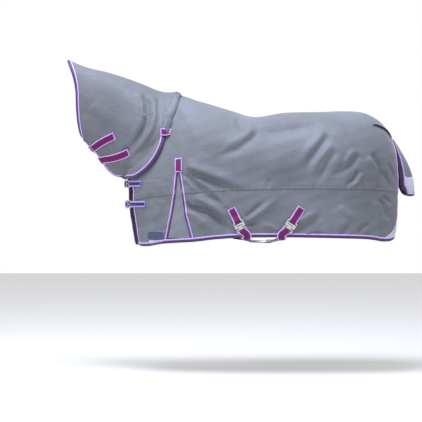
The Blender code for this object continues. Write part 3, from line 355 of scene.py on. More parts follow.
tableS, tableT = [g.ravel() for g in np.meshgrid(np.linspace(0, bodyEnd, 121), np.linspace(0.02, 1, 41))]
tablePoints = bodyFace(tableS, tableT)


def spotAt(x, z):
    # rib place and share down it where the side is at x and z
    x, z = np.atleast_1d(x).astype(float), np.atleast_1d(z).astype(float)
    nearest = (
        (tablePoints[None, :, 0] - x[:, None]) ** 2 + (tablePoints[None, :, 2] - z[:, None]) ** 2
    ).argmin(1)
    s, t = tableS[nearest].copy(), tableT[nearest].copy()
    for _ in range(8):
        p = bodyFace(s, t)
        ds = (
            bodyFace(np.clip(s + 0.01, 0, bodyEnd), t) - bodyFace(np.clip(s - 0.01, 0, bodyEnd), t)
        ) / (np.clip(s + 0.01, 0, bodyEnd) - np.clip(s - 0.01, 0, bodyEnd))[:, None]
        dt = (
            bodyFace(s, np.clip(t + 0.002, 0, 1)) - bodyFace(s, np.clip(t - 0.002, 0, 1))
        ) / (np.clip(t + 0.002, 0, 1) - np.clip(t - 0.002, 0, 1))[:, None]
        det = ds[:, 0] * dt[:, 2] - ds[:, 2] * dt[:, 0]
        rx, rz = x - p[:, 0], z - p[:, 2]
        s = np.clip(s + np.clip((rx * dt[:, 2] - rz * dt[:, 0]) / det, -0.5, 0.5), 0, bodyEnd)
        t = np.clip(t + np.clip((ds[:, 0] * rz - ds[:, 2] * rx) / det, -0.1, 0.1), 0, 1)
    return s, t


# folds: (x, z) along each from its pulled end, height, softness above and below the line
sideFolds = [
    (
        [
            (0.000, -0.418), (0.074, -0.452), (0.142, -0.478), (0.215, -0.507), (0.288, -0.536),
            (0.400, -0.562)
        ],
        -0.014,
        0.016,
        0.030
    ),
    (
        [(0.000, -0.400), (0.090, -0.432), (0.170, -0.456), (0.250, -0.486), (0.340, -0.520)],
        0.011,
        0.040,
        0.022
    ),
    ([(0.000, -0.450), (0.040, -0.480), (0.086, -0.530), (0.140, -0.590)], -0.009, 0.014, 0.018),
    ([(-0.010, -0.470), (0.030, -0.510), (0.070, -0.560)], 0.007, 0.016, 0.016),
    ([(0.060, -0.470), (0.130, -0.520), (0.200, -0.575), (0.250, -0.630)], 0.008, 0.022, 0.018),
    (
        [
            (0.000, -0.600), (0.040, -0.648), (0.086, -0.655), (0.150, -0.668), (0.200, -0.712),
            (0.245, -0.760), (0.310, -0.812)
        ],
        -0.019,
        0.014,
        0.030
    ),
    (
        [(0.050, -0.585), (0.120, -0.620), (0.180, -0.650), (0.240, -0.700), (0.290, -0.740)],
        0.012,
        0.030,
        0.018
    ),
    ([(0.000, -0.640), (0.060, -0.700), (0.120, -0.745), (0.180, -0.800)], 0.010, 0.030, 0.040),
    ([(0.130, -0.575), (0.190, -0.600), (0.250, -0.645)], -0.007, 0.014, 0.014),
    ([(0.260, -0.650), (0.190, -0.590), (0.130, -0.540)], 0.006, 0.016, 0.020),
    ([(0.360, -0.735), (0.436, -0.680), (0.509, -0.625), (0.560, -0.580)], 0.010, 0.022, 0.030),
    ([(0.350, -0.720), (0.420, -0.655), (0.490, -0.600)], -0.008, 0.016, 0.016),
    ([(0.355, -0.765), (0.390, -0.750), (0.435, -0.738)], -0.009, 0.010, 0.014),
    ([(0.640, -0.790), (0.700, -0.765), (0.778, -0.712), (0.830, -0.680)], -0.008, 0.018, 0.026),
    ([(0.650, -0.740), (0.720, -0.705), (0.800, -0.660)], 0.008, 0.024, 0.026),
    ([(0.700, -0.830), (0.760, -0.805), (0.830, -0.798)], -0.007, 0.014, 0.020),
    ([(0.560, -0.790), (0.500, -0.760), (0.440, -0.745)], 0.006, 0.020, 0.020),
    (
        [
            (0.398, -0.142), (0.448, -0.186), (0.509, -0.202), (0.643, -0.180), (0.766, -0.152),
            (0.880, -0.105)
        ],
        -0.010,
        0.026,
        0.050
    ),
    ([(0.440, -0.118), (0.520, -0.140), (0.640, -0.125), (0.780, -0.096)], 0.008, 0.030, 0.030),
    (
        [(0.440, -0.185), (0.398, -0.240), (0.313, -0.300), (0.220, -0.336), (0.150, -0.350)],
        -0.009,
        0.020,
        0.034
    ),
    ([(0.420, -0.175), (0.360, -0.225), (0.290, -0.262), (0.200, -0.292)], 0.008, 0.034, 0.026),
    ([(0.310, -0.110), (0.325, -0.160), (0.360, -0.215)], -0.006, 0.018, 0.018),
    ([(0.860, -0.210), (0.800, -0.290), (0.736, -0.375), (0.700, -0.450)], -0.009, 0.024, 0.030),
    ([(0.840, -0.180), (0.770, -0.270), (0.700, -0.350), (0.660, -0.420)], 0.008, 0.034, 0.026),
    ([(0.880, -0.260), (0.820, -0.330), (0.766, -0.400), (0.736, -0.524)], 0.007, 0.026, 0.022),
    ([(0.900, -0.300), (0.850, -0.380), (0.800, -0.470), (0.780, -0.535)], -0.007, 0.020, 0.020),
    ([(1.040, -0.320), (0.988, -0.395), (0.920, -0.444), (0.860, -0.475)], -0.009, 0.018, 0.024),
    ([(1.010, -0.300), (0.950, -0.370), (0.900, -0.410)], 0.006, 0.022, 0.018),
    ([(0.957, -0.320), (0.914, -0.425), (0.846, -0.480)], -0.006, 0.016, 0.022),
    ([(1.030, -0.425), (0.994, -0.487), (0.932, -0.530)], -0.009, 0.014, 0.018),
    ([(1.050, -0.440), (1.020, -0.500), (0.960, -0.545)], 0.006, 0.016, 0.016),
    ([(1.107, -0.318), (1.153, -0.401), (1.171, -0.469), (1.180, -0.545)], -0.011, 0.020, 0.020),
    ([(1.080, -0.340), (1.120, -0.420), (1.135, -0.500), (1.140, -0.560)], 0.008, 0.024, 0.022),
    ([(1.190, -0.440), (1.212, -0.490), (1.230, -0.545)], -0.009, 0.012, 0.014),
    ([(1.215, -0.380), (1.245, -0.440), (1.262, -0.510)], -0.008, 0.010, 0.012),
    ([(1.175, -0.575), (1.210, -0.602), (1.240, -0.632)], -0.008, 0.010, 0.012),
    ([(1.150, -0.590), (1.180, -0.640), (1.202, -0.695), (1.255, -0.725)], -0.009, 0.018, 0.022),
    ([(1.130, -0.600), (1.150, -0.670), (1.160, -0.740), (1.150, -0.800)], 0.007, 0.030, 0.030),
    ([(1.020, -0.800), (1.060, -0.760), (1.110, -0.740)], -0.006, 0.016, 0.020),
    ([(0.900, -0.640), (0.960, -0.690), (1.040, -0.710)], 0.006, 0.030, 0.030),
    ([(0.920, -0.820), (0.960, -0.770), (0.990, -0.720)], -0.006, 0.020, 0.020),
    ([(0.480, -0.540), (0.500, -0.500), (0.490, -0.470)], -0.005, 0.012, 0.012),
    ([(-0.130, -0.600), (-0.160, -0.680), (-0.170, -0.750)], 0.005, 0.030, 0.030),
    ([(-0.200, -0.560), (-0.220, -0.640), (-0.225, -0.720)], -0.004, 0.025, 0.025),
]
calmPlaces = [
    (0.3215, -0.748), (0.345, -0.790), (0.6265, -0.747), (0.600, -0.790), (0.315, -0.800), (0.604, -0.800),
    (-0.33, -0.505), (-0.32, -0.628), (-0.170, -0.815), (-0.036, -0.395)
]
neckFolds = [
    (
        [
            (-0.262, 0.060), (-0.225, -0.020), (-0.220, -0.090), (-0.235, -0.160), (-0.275, -0.225),
            (-0.325, -0.285), (-0.400, -0.340)
        ],
        -0.013,
        0.016,
        0.026
    ),
    (
        [
            (-0.215, 0.050), (-0.188, -0.030), (-0.184, -0.110), (-0.200, -0.185), (-0.245, -0.260),
            (-0.310, -0.325), (-0.380, -0.372)
        ],
        0.010,
        0.024,
        0.022
    ),
    (
        [(-0.300, 0.060), (-0.262, -0.020), (-0.258, -0.110), (-0.285, -0.180), (-0.340, -0.240)],
        0.007,
        0.026,
        0.018
    ),
    ([(-0.163, 0.030), (-0.155, -0.050), (-0.145, -0.110), (-0.122, -0.190)], -0.008, 0.013, 0.018),
    ([(-0.130, -0.020), (-0.125, -0.090), (-0.108, -0.160)], 0.005, 0.014, 0.014),
    (
        [(-0.150, -0.150), (-0.160, -0.230), (-0.200, -0.310), (-0.270, -0.370), (-0.350, -0.405)],
        -0.006,
        0.020,
        0.022
    ),
    ([(-0.340, -0.285), (-0.372, -0.318), (-0.430, -0.345)], -0.008, 0.012, 0.014),
    ([(-0.450, -0.390), (-0.390, -0.412), (-0.320, -0.408), (-0.270, -0.390)], -0.006, 0.012, 0.014),
    ([(-0.400, 0.120), (-0.350, 0.050), (-0.330, -0.020), (-0.350, -0.100)], 0.005, 0.040, 0.040),
    ([(-0.560, -0.020), (-0.500, -0.090), (-0.470, -0.170)], 0.004, 0.050, 0.050),
]


foldWidth = 0.8


def foldLift(x, z, folds):
    lift = np.zeros_like(x)
    for line, height, above, below in folds:
        line = np.array(line)
        steps = np.linalg.norm(np.diff(line, axis=0), axis=1)
        run = np.concatenate([[0], np.cumsum(steps)]) / steps.sum()
        best, share, over = np.full(x.shape, 9.0), np.zeros_like(x), np.zeros(x.shape, bool)
        for i, (a, b) in enumerate(zip(line, line[1:])):
            d = b - a
            f = np.clip(((x - a[0]) * d[0] + (z - a[1]) * d[1]) / (d @ d), 0, 1)
            dx, dz = x - a[0] - d[0] * f, z - a[1] - d[1] * f
            far = np.hypot(dx, dz)
            nearer = far < best
            best = np.where(nearer, far, best)
            share = np.where(nearer, run[i] + (run[i + 1] - run[i]) * f, share)
            over = np.where(nearer, (d[0] * dz - d[1] * dx) * np.sign(d[0] or 1) > 0, over)
        start, end = np.clip(share / 0.16, 0, 1), np.clip((1 - share) / 0.45, 0, 1)
        fade = start * start * (3 - 2 * start) * end * end * (3 - 2 * end)
        lift += height * fade * np.exp(-(best / (foldWidth * np.where(over, above, below))) ** 2)
    return lift


def step(value, low, high):
    f = np.clip((value - low) / (high - low), 0, 1)
    return f * f * (3 - 2 * f)


def bodyLift(p, t, side):
    # how far the cloth stands off its smooth shape
    x, z = p[:, 0], p[:, 2]
    shift = 0.02 if side > 0 else 0.0
    lift = foldLift(x - shift * step(-z, 0.2, 0.4), z, sideFolds) * (1.25 if side > 0 else 1.45)
    phase = 1.7 * side
    lift += 0.0022 * np.sin(x * 19 + z * 11 + phase) * np.sin(z * 23 - x * 6 + 0.6 + phase)
    lift += 0.0012 * np.sin(x * 47 - z * 31 + phase) * np.sin(z * 52 + x * 17)
    pucker = np.exp(
        -np.abs(z - np.interp(x, seamPlaces[:, 0], seamPlaces[:, 2])) / 0.022
    ) * step(x, -0.3, -0.2)
    lift += 0.0016 * pucker * np.sin(x * 205 + 2.2 * np.sin(x * 37) + phase)
    hem = np.exp(-(1 - t) / 0.05)
    lift += 0.0020 * hem * np.sin(x * 88 + 1.8 * np.sin(x * 21) + phase)
    calm = np.ones_like(x)
    for cx, cz in calmPlaces:
        calm *= 1 - np.exp(-(((x - cx) ** 2 + (z - cz) ** 2) / 0.045**2) ** 1.5)
    calm *= np.where(z > -0.49, 0.06 + 0.94 * step(x, -0.085, -0.035), 1.0)
    return lift * calm * step(t, 0.0, 0.10)


def inwards(p, n, depth, side):
    middle = p[:, 1] < 1e-6
    flat = np.stack([n[:, 0], np.zeros(len(n)), n[:, 2]], 1) / (n[:, 0] ** 2 + n[:, 2] ** 2)[:, None]
    n = np.where(middle[:, None], flat, n)
    moved = p - n * np.broadcast_to(depth, (len(p),))[:, None]
    moved[:, 1] *= side
    return moved


def bodySkin(s, t, side, depth=0.0):
    s, t = np.atleast_1d(s).astype(float), np.atleast_1d(t).astype(float)
    p, n = bodyFace(s, t), outwards(bodyFace, s, t, bodyEnd)
    return inwards(p, n, depth - bodyLift(p, t, side), side)


def bodyOut(s, t, side):
    n = outwards(bodyFace, np.atleast_1d(s).astype(float), np.atleast_1d(t).astype(float), bodyEnd)
    return n * (1, side, 1)


sideMesh = bmesh.new()
bmesh.ops.create_grid(sideMesh, x_segments=60, y_segments=24, size=0.5)
flatPlaces = np.array([v.co for v in sideMesh.verts])
for v, p in zip(sideMesh.verts, bodyFace((flatPlaces[:, 0] + 0.5) * bodyEnd, flatPlaces[:, 1] + 0.5)):
    v.co = p
sideMesh.normal_update()
bodyTree = BVHTree.FromBMesh(sideMesh)
sideMesh.free()
neckHold = {"clearance": 0.0195, "fade": 0.060, "tuck": 0.85}


def neckFace(s, t):
    p = onRibs(neckRibs, s, t, neckHold["tuck"])
    p[t < 1e-6, 1] = 0.0
    for i in range(len(p)):
        near, out, _, _ = bodyTree.find_nearest(p[i])
        away = Vector(p[i]) - near
        height = away.dot(out)
        short = neckHold["clearance"] - height
        if short > 0:
            p[i] += np.array(out) * (short * max(0.0, 1 - (away - out * height).length / neckHold["fade"]))
    p[t < 1e-6, 1] = 0.0
    return p


def neckLift(p, s, t, side):
    x, z = p[:, 0], p[:, 2]
    lift = foldLift(x, z, neckFolds) * (1.2 if side > 0 else 1.4)
    lift += 0.0018 * np.sin(x * 24 + z * 15 + side) * np.sin(z * 21 + 0.6 * side)
    overBody = step(s, 4.2, 5.6)
    lift = np.where(lift < 0, lift * (1 - 0.75 * overBody), lift)
    edge = np.minimum(step(s, 0.0, 0.5), step(neckEnd - s, 0.0, 0.25)) * step(1 - t, 0.0, 0.06)
    return lift * step(t, 0.0, 0.10) * (0.15 + 0.85 * edge)


def neckSkin(s, t, side, depth=0.0):
    s, t = np.atleast_1d(s).astype(float), np.atleast_1d(t).astype(float)
    p, n = neckFace(s, t), outwards(neckFace, s, t, neckEnd)
    return inwards(p, n, depth - neckLift(p, s, t, side), side)


def neckOut(s, t, side):
    n = outwards(neckFace, np.atleast_1d(s).astype(float), np.atleast_1d(t).astype(float), neckEnd)
    return n * (1, side, 1)


# making pieces

def place(mesh, name, material, body, nodes=(), smooth=True):
    data = bpy.data.meshes.new(name)
    if smooth:
        for f in mesh.faces:
            f.smooth = True
    mesh.to_mesh(data)
    mesh.free()
    piece = bpy.data.objects.new(name, data)
    bpy.context.scene.collection.objects.link(piece)
    data.materials.append(materials[material])
    if body:
        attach(piece, body)
    if nodes:
        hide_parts(*nodes)
    return piece


def cloth(name, patches, thick, material, nodes, body="rug"):
    # patches: (where, columns, rows, side); where takes the grid's shares and gives points and a weave
    # position
    whole = bmesh.new()
    weave = whole.verts.layers.float_vector.new("weave")
    for where, columns, rows, side in patches:
        first = len(whole.verts)
        bmesh.ops.create_grid(whole, x_segments=columns, y_segments=rows, size=0.5)
        whole.verts.ensure_lookup_table()
        added = whole.verts[first:]
        shares = np.array([v.co for v in added]) + 0.5
        points, lay = where(shares[:, 0], shares[:, 1], side)
        for v, p, uv in zip(added, points, lay):
            v.co = p
            v[weave] = (uv[0], uv[1], 0)
        if side < 0:
            bmesh.ops.reverse_faces(whole, faces=list({f for v in added for f in v.link_faces}))
    bmesh.ops.remove_doubles(whole, verts=whole.verts, dist=2e-5)
    layUv(whole, weave)
    piece = place(whole, name, material, body, nodes)
    wall = piece.modifiers.new("thickness", "SOLIDIFY")
    wall.thickness = thick
    wall.offset = -1.0
    return piece


def layUv(whole, weave):
    uv = whole.loops.layers.uv.new("UVMap")
    for f in whole.faces:
        for loop in f.loops:
            loop[uv].uv = loop.vert[weave].xy
    whole.verts.layers.float_vector.remove(weave)


def sweep(name, points, outs, aways, profile, material, body="rug", nodes=(), closed=False, bands=0):
    # a profile of (away, out) pairs carried along points; the weave runs across in shares and along in metres
    points, outs, aways = [np.asarray(a, float) for a in (points, outs, aways)]
    n, m = len(points), len(profile)
    tube = bmesh.new()
    weave = tube.verts.layers.float_vector.new("weave")
    bmesh.ops.create_grid(tube, x_segments=n if closed else n - 1, y_segments=m, size=0.5)
    steps = np.linalg.norm(np.diff(points, axis=0, append=points[:1]), axis=1)
    run = np.concatenate([[0], np.cumsum(steps)])
    widths = np.array([a for a, _ in profile])
    share = (widths - widths.min()) / max(np.ptp(widths), 1e-9)
    for v in tube.verts:
        i, j = round((v.co.x + 0.5) * (n if closed else n - 1)), round((v.co.y + 0.5) * m)
        away, out = profile[j % m]
        v[weave] = (0.0 if i < bands or i > n - 1 - bands else share[j % m], run[i], 0)
        v.co = points[i % n] + aways[i % n] * away + outs[i % n] * out
    bmesh.ops.remove_doubles(tube, verts=tube.verts, dist=1e-6)
    if not closed:
        bmesh.ops.holes_fill(tube, edges=[e for e in tube.edges if e.is_boundary], sides=0)
    bmesh.ops.recalc_face_normals(tube, faces=tube.faces)
    layUv(tube, weave)
    return place(tube, name, material, body, nodes)


def smoothPath(points, outs, spacing=0.004):
    points, outs = np.array([tuple(p) for p in points]), np.array([tuple(o) for o in outs])
    steps = np.linalg.norm(np.diff(points, axis=0), axis=1)
    at = np.concatenate(
        [
            np.linspace(i, i + 1, max(2, int(step / spacing) + 1))[:-1] for i, step in enumerate(steps)
        ] + [[len(points) - 1.0]]
    )
    fine, fineOuts = along(points, at), along(outs, at)
    return fine, fineOuts / np.linalg.norm(fineOuts, axis=1)[:, None]


def acrossOf(points, outs):
    tangent = np.gradient(np.asarray(points), axis=0)
    across = np.cross(outs, tangent)
    return across / np.linalg.norm(across, axis=1)[:, None]


strapEnd = 2  # sections of edge colour woven across each end


def strapProfile(width, thick):
    w, r = width / 2, thick / 2
    top = [(w * f, thick) for f in (-0.97, -0.72, -0.45, 0, 0.45, 0.72, 0.97)]
    return [(-w, r)] + top + [(w, r)] + [(a, 0.0) for a, _ in top[::-1]]


def strap(name, points, outs, width, body, nodes, material="webbing", thick=0.0022, spacing=0.004):
    fine, fineOuts = smoothPath(points, outs, spacing)
    return sweep(
        name, fine, fineOuts, acrossOf(fine, fineOuts), strapProfile(width, thick), material, body,
        nodes, bands=strapEnd
    )


def sideAt(x, z, lift, side):
    s, t = spotAt(x, z)
    return bodySkin(s, t, side, -np.asarray(lift))


def outAt(x, z, side):
    s, t = spotAt(x, z)
    return bodyOut(s, t, side)


def stitches(name, points, outs, body, material="thread", length=0.0040, gap=0.0030, thick=0.0006):
    points, outs = np.asarray(points), np.asarray(outs)
    steps = np.linalg.norm(np.diff(points, axis=0), axis=1)
    run = np.concatenate([[0], np.cumsum(steps)])
    rows = bmesh.new()
    for d in np.arange(length, run[-1] - length / 2, length + gap):
        i = min(np.searchsorted(run, d) - 1, len(steps) - 1)
        f = (d - run[i]) / steps[i]
        at, out = points[i] + (points[i + 1] - points[i]) * f, Vector(outs[i])
        tangent = Vector(points[i + 1] - points[i]).normalized()
        turn = Matrix((tangent, out.cross(tangent).normalized(), out)).transposed().to_4x4()
        bmesh.ops.create_icosphere(
            rows,
            subdivisions=1,
            radius=1.0,
            matrix=Matrix.Translation(at) @ turn @ Matrix.Diagonal((length / 2, thick, thick, 1))
        )
    return place(rows, name, material, body, smooth=True)


# body cloth

slitFront = np.array([(-0.414, -0.0400), (-0.560, -0.0540), (-0.700, -0.0760), (-0.860, -0.1090)])
slitRear = np.array([(-0.414, -0.0400), (-0.560, -0.0150), (-0.700, 0.0030), (-0.860, 0.0460)])
cut = {"nearFront": 1.25, "offFront": 0.0, "apexRow": 4 / 6, "lap": 0.010, "lapLift": 0.0018}


def slitX(table, z):
    return np.interp(-z, -table[:, 0], table[:, 1])


apexS, apexT = spotAt(slitRear[0][1], slitRear[0][0])
apexShare = (apexT / seamLevel(apexS))[0]


def rowLevel(s, q, upper):
    seam = seamLevel(s)
    if not upper:
        return seam + q * (1 - seam)
    low = q / cut["apexRow"] * apexShare
    high = apexShare + (q - cut["apexRow"]) / (1 - cut["apexRow"]) * (1 - apexShare)
    return np.where(q <= cut["apexRow"], low, high) * seam


def slitStation(table, q, upper):
    low, high = np.full(q.shape, 2.0), np.full(q.shape, 7.5)
    for _ in range(26):
        middle = (low + high) / 2
        p = bodyFace(middle, rowLevel(middle, q, upper))
        short = p[:, 0] < slitX(table, p[:, 2])
        low, high = np.where(short, middle, low), np.where(short, high, middle)
    return (low + high) / 2


def evenStations(first, last, share):
    # rib places spread evenly along the side
    rail = np.linspace(0, bodyEnd, 601)
    wide = along(bodyRibs, rail)[:, 3:5]
    run = np.concatenate([[0], np.cumsum(np.linalg.norm(np.diff(wide, axis=0), axis=1))])
    a, b = np.interp(first, rail, run), np.interp(last, rail, run)
    return np.interp(a + (b - a) * share, run, rail)


def weaveOf(p, t):
    return np.stack([p[:, 0], np.where(t < 0.5, t * 1.04, 0.52 + (t - 0.5) * 0.8)], 1)


def bodyPatch(behind, upper, depth, lapped=False, apart=0.0, back=0.0):
    def where(p, q, side):
        edge = slitStation(slitRear if behind else slitFront, q, upper)
        front = cut["offFront"] if side > 0 else cut["nearFront"]
        s = evenStations(edge + back, bodyEnd, p) if behind else evenStations(front, edge - back, p)
        t = rowLevel(s, q, upper)
        lift = 0.0
        if lapped and upper:
            t = t + cut["lap"] * step(q, 0.9, 1.0)
            lift = cut["lapLift"] * step(q, 0.9, 0.96)
        points = bodySkin(s, t, side, depth - lift)
        if apart:
            middle = np.abs(points[:, 1]) < apart
            points[middle, 1] = side * apart
        return points, weaveOf(points, t)
    return where


bodyGrid = (190, 46, 78, 44)  # squares along behind and before the slit, and down above and below the seam


def bodyPatches(sides, depth, rows, **more):
    made = []
    for side in sides:
        for upper in rows:
            down = bodyGrid[2] if upper else bodyGrid[3]
            made.append((bodyPatch(True, upper, depth, **more), bodyGrid[0], down, side))
            made.append((bodyPatch(False, upper, depth, **more), bodyGrid[1], down, side))
    return made


names = {-1: "near", 1: "off"}
upperPanel = cloth(
    "upperPanel",
    bodyPatches((-1, 1), 0.0, (True,), lapped=True),
    layers["outer"],
    "outerCloth",
    ["upper_panel"]
)
bodySheets = [upperPanel]
for side, word in names.items():
    rear, front = bodyPatches((side,), 0.0, (False,))
    bodySheets.append(
        cloth(
            "sidePanel." + word, [rear], layers["outer"], "outerCloth", ["side_panel_" + word]
        )
    )
    bodySheets.append(
        cloth(
            "frontPanel." + word, [front], layers["outer"], "outerCloth",
            ["front_panel_" + word]
        )
    )
    rearTop, frontTop, rearLow, frontLow = bodyPatches(
        (side,), layers["fillTop"], (True, False), apart=0.0006, back=0.13
    )
    bodySheets.append(
        cloth(
            "barrelWadding." + word, [rearTop, rearLow], layers["fill"], "wadding",
            ["barrel_fill_" + word]
        )
    )
    bodySheets.append(
        cloth(
            "shoulderWadding." + word, [frontTop, frontLow], layers["fill"], "wadding",
            ["shoulder_fill_" + word]
        )
    )
    bodySheets.append(
        cloth(
            "lining." + word,
            bodyPatches((side,), layers["liningTop"], (True, False), apart=0.0004),
            layers["lining"],
            "lining",
            ["lining_" + word]
        )
    )
print("body cloth:", len(bodySheets), "sheets")

# shoulder gussets

gusset = {"top": -0.418, "bottom": -0.832, "lap": 0.012, "depth": 0.0035, "thick": 0.0020, "tabWidth": 0.045}
slitTape = [
    (-0.009, 0.0013), (0.0, 0.0015), (0.0022, 0.0), (0.0022, -0.0018), (0.0, -0.0026), (-0.009, -0.0026),
    (-0.009, -0.0018), (0.0008, -0.0018), (0.0008, 0.0002), (-0.009, 0.0002)
]
cordShape = [(0.0042 * math.cos(a), 0.0028 * math.sin(a)) for a in np.arange(8) * math.pi / 4]


def gussetPatch(p, q, side):
    z = gusset["top"] + (gusset["bottom"] - gusset["top"]) * q
    x0, x1 = slitX(slitFront, z) - gusset["lap"], slitX(slitRear, z) + gusset["lap"]
    x = x0 + (x1 - x0) * p
    points = sideAt(x, z, -gusset["depth"] + 0.004 * q * np.sin(p * math.pi) ** 2, side)
    return points, np.stack([x, z], 1)


def slitEdge(table, rows=60):
    s, t = [], []
    for upper in (True, False):
        q = np.linspace(cut["apexRow"] + 0.02, 1, rows) if upper else np.linspace(0.02, 1, rows)
        station = slitStation(table, q, upper)
        s.append(station)
        t.append(rowLevel(station, q, upper))
    return np.concatenate(s), np.concatenate(t)


def frames(points, outs, towards):
    tangent = np.gradient(points, axis=0)
    away = np.cross(tangent, outs)
    away /= np.linalg.norm(away, axis=1)[:, None]
    turned = np.sign((away * towards).sum(1))
    return away * np.where(turned == 0, 1, turned)[:, None]


def cordAlong(name, points, outs, aways, inset, rise, body, closed=False):
    return sweep(
        name,
        points + aways * inset + outs * rise,
        outs,
        aways,
        cordShape,
        "piping",
        body,
        closed=closed
    )


for side, word in names.items():
    cloth(
        "gusset." + word, [(gussetPatch, 24, 70, side)], gusset["thick"], "gussetCloth",
        ["gusset_" + word]
    )
    for edge, table, towards in (("front", slitFront, 1), ("rear", slitRear, -1)):
        s, t = slitEdge(table)
        points, outs = bodySkin(s, t, side, -0.0002), bodyOut(s, t, side)
        aways = frames(points, outs, np.array([[towards, 0, 0]] * len(s)))
        sweep(f"gussetTape.{edge}.{word}", points, outs, aways, slitTape, "tape")
        cordAlong(f"gussetPiping.{edge}.{word}", points, outs, aways, -0.0110, 0.0012, "rug")
    z = np.linspace(-0.357, -0.440, 20)
    tabS, tabT = spotAt(np.full(20, -0.036), z)
    strap(
        "gussetTab." + word,
        bodySkin(tabS, tabT, side, -0.0030),
        bodyOut(tabS, tabT, side),
        gusset["tabWidth"],
        "rug",
        ["gusset_tab_" + word]
    )
print("gussets")


# bound edges

tapeShape = [(-0.010, 0.0016), (-0.002, 0.0020), (0.006, 0.0), (0.0115, -0.0036), (0.0126, -0.0058), (0.0115, -0.0080), (0.006, -0.0112), (-0.002, -0.0132), (-0.010, -0.0128),
             (-0.010, -0.0118), (-0.002, -0.0120), (0.0052, -0.0102), (0.0104, -0.0074), (0.0114, -0.0058), (0.0104, -0.0042), (0.0052, -0.0010), (-0.002, 0.0008), (-0.010, 0.0004)]


def edgeRun(parts, skin, outOf):
    # parts: (s, t, side, towards) with arrays s and t; gives points, outs and the way beyond the edge
    points = np.concatenate([skin(s, t, side) for s, t, side, _ in parts])
    outs = np.concatenate([outOf(s, t, side) for s, t, side, _ in parts])
    towards = np.concatenate([np.tile(way, (len(s), 1)) for s, _, _, way in parts])
    outs[np.abs(points[:, 1]) < 1e-6, 1] = 0
    outs /= np.linalg.norm(outs, axis=1)[:, None]
    return points, outs, frames(points, outs, towards)


def bindEdge(name, run, nodes, body="rug", closed=False, material="tape", piped=True, shape=tapeShape):
    points, outs, aways = run
    sweep(name + "Tape", points, outs, aways, shape, material, body, nodes, closed)
    if piped:
        cordAlong(name + "Piping", points, outs, aways, -0.0075, 0.0022, body, closed)


def rearLevels(rows):
    q = np.linspace(0, 1, rows)
    return np.concatenate(
        [rowLevel(np.full(rows, bodyEnd), q, True)[:-1], rowLevel(np.full(rows, bodyEnd), q, False)]
    )


for side, word, front in ((-1, "near", cut["nearFront"]), (1, "off", cut["offFront"])):
    t = np.concatenate(
        [
            rowLevel(np.full(60, front), np.linspace(0, 1, 60), True)[:-1],
            rowLevel(np.full(50, front), np.linspace(0, 1, 50), False)
        ]
    )
    bindEdge(
        "frontEdge." + word + ".",
        edgeRun([(np.full(len(t), front), t, side, (-0.3, -side, 0))], bodySkin, bodyOut),
        ["front_binding_" + word]
    )
hemParts = []
for side, front in ((-1, cut["nearFront"]), (1, cut["offFront"])):
    ahead = slitStation(slitFront, np.array([1.0]), False)[0]
    behind = slitStation(slitRear, np.array([1.0]), False)[0]
    hem = np.concatenate(
        [
            evenStations(front, ahead, np.linspace(0, 1, 45)),
            np.linspace(ahead, behind, 18)[1:-1],
            evenStations(behind, bodyEnd, np.linspace(0, 1, 180))[:-2]
        ]
    )
    up = rearLevels(60)[::-1][2:]
    up = up[:-1] if side > 0 else up
    parts = [
        (hem, np.ones_like(hem), side, (0, 0, -1)),
        (np.array([bodyEnd - 0.02]), np.array([0.999]), side, (1, 0, -1)),
        (np.full(len(up), bodyEnd), up, side, (1, 0, 0))
    ]
    if side > 0:
        parts = [(s[::-1], t[::-1], a, b) for s, t, a, b in parts[::-1]]
    hemParts += parts
bindEdge("hem", edgeRun(hemParts, bodySkin, bodyOut), ["hem_binding"])
neckline = []
for side, front in ((-1, cut["nearFront"]), (1, cut["offFront"])):
    s = np.linspace(front, 5.0, 60)
    s = s[:-1][::-1] if side > 0 else s
    neckline.append((s, np.zeros_like(s), side, (-1, 0, 0.6)))
bindEdge(
    "neckline", edgeRun(neckline, bodySkin, bodyOut), ["neckline_binding"], material="seamTape", piped=False
)
print("bound edges")


# neck cover

neckGrid = (110, 90)  # squares along and down each side


def neckPatch(depth, inset=0.0, apart=0.0):
    def where(p, q, side):
        s, t = inset * 4 + (neckEnd - inset * 8) * p, q * (1 - inset * 2)
        points = neckSkin(s, t, side, depth)
        if apart:
            points[np.abs(points[:, 1]) < apart, 1] = side * apart
        return points, np.stack([points[:, 0], t * 0.62], 1)
    return where


for name, depth, thick, material, slot, node, inset in (
    ("neckCover", 0.0, layers["outer"], "outerCloth", "outer_cloth", "neck_outer", 0.0),
    ("neckWadding", layers["fillTop"], 0.0042, "wadding", "fill", "neck_fill", 0.012),
    ("neckLining", layers["liningTop"], layers["lining"], "lining", "lining_cloth", "neck_lining", 0.0),
):
    patches = [(neckPatch(depth, inset), *neckGrid, side) for side in (-1, 1)]
    cloth(name, patches, thick, material, [node])
tabLevel = 0.44
neckTab = {"width": 0.045, "lift": 0.0034, "reach": 0.016}
neckStrapWidth = 0.048
ring = []
for side in (-1, 1):
    throat = (np.linspace(neckEnd, 0, 90)[1:-1], np.ones(88), side, (0, -side * 0.8, -1))
    face = (np.zeros(60), np.linspace(1, 0, 60), side, (-1, 0, 0))
    rear = (np.full(60, neckEnd), np.linspace(0, 1, 60), side, (1, 0, 0))
    parts = [rear, throat, face] if side < 0 else [
        tuple([face[0], face[1][::-1], side, face[3]]),
        tuple([throat[0][::-1], throat[1], side, throat[3]]),
        tuple([rear[0], rear[1][::-1], side, rear[3]])
    ]
    if side > 0:
        parts[0] = (parts[0][0][1:], parts[0][1][1:], side, parts[0][3])
        parts[2] = (parts[2][0][:-1], parts[2][1][:-1], side, parts[2][3])
    ring += parts
points, outs, aways = edgeRun(ring, neckSkin, neckOut)
sweep("neckEdgeTape", points, outs, aways, tapeShape, "tape", "rug", ["neck_binding"], closed=True)


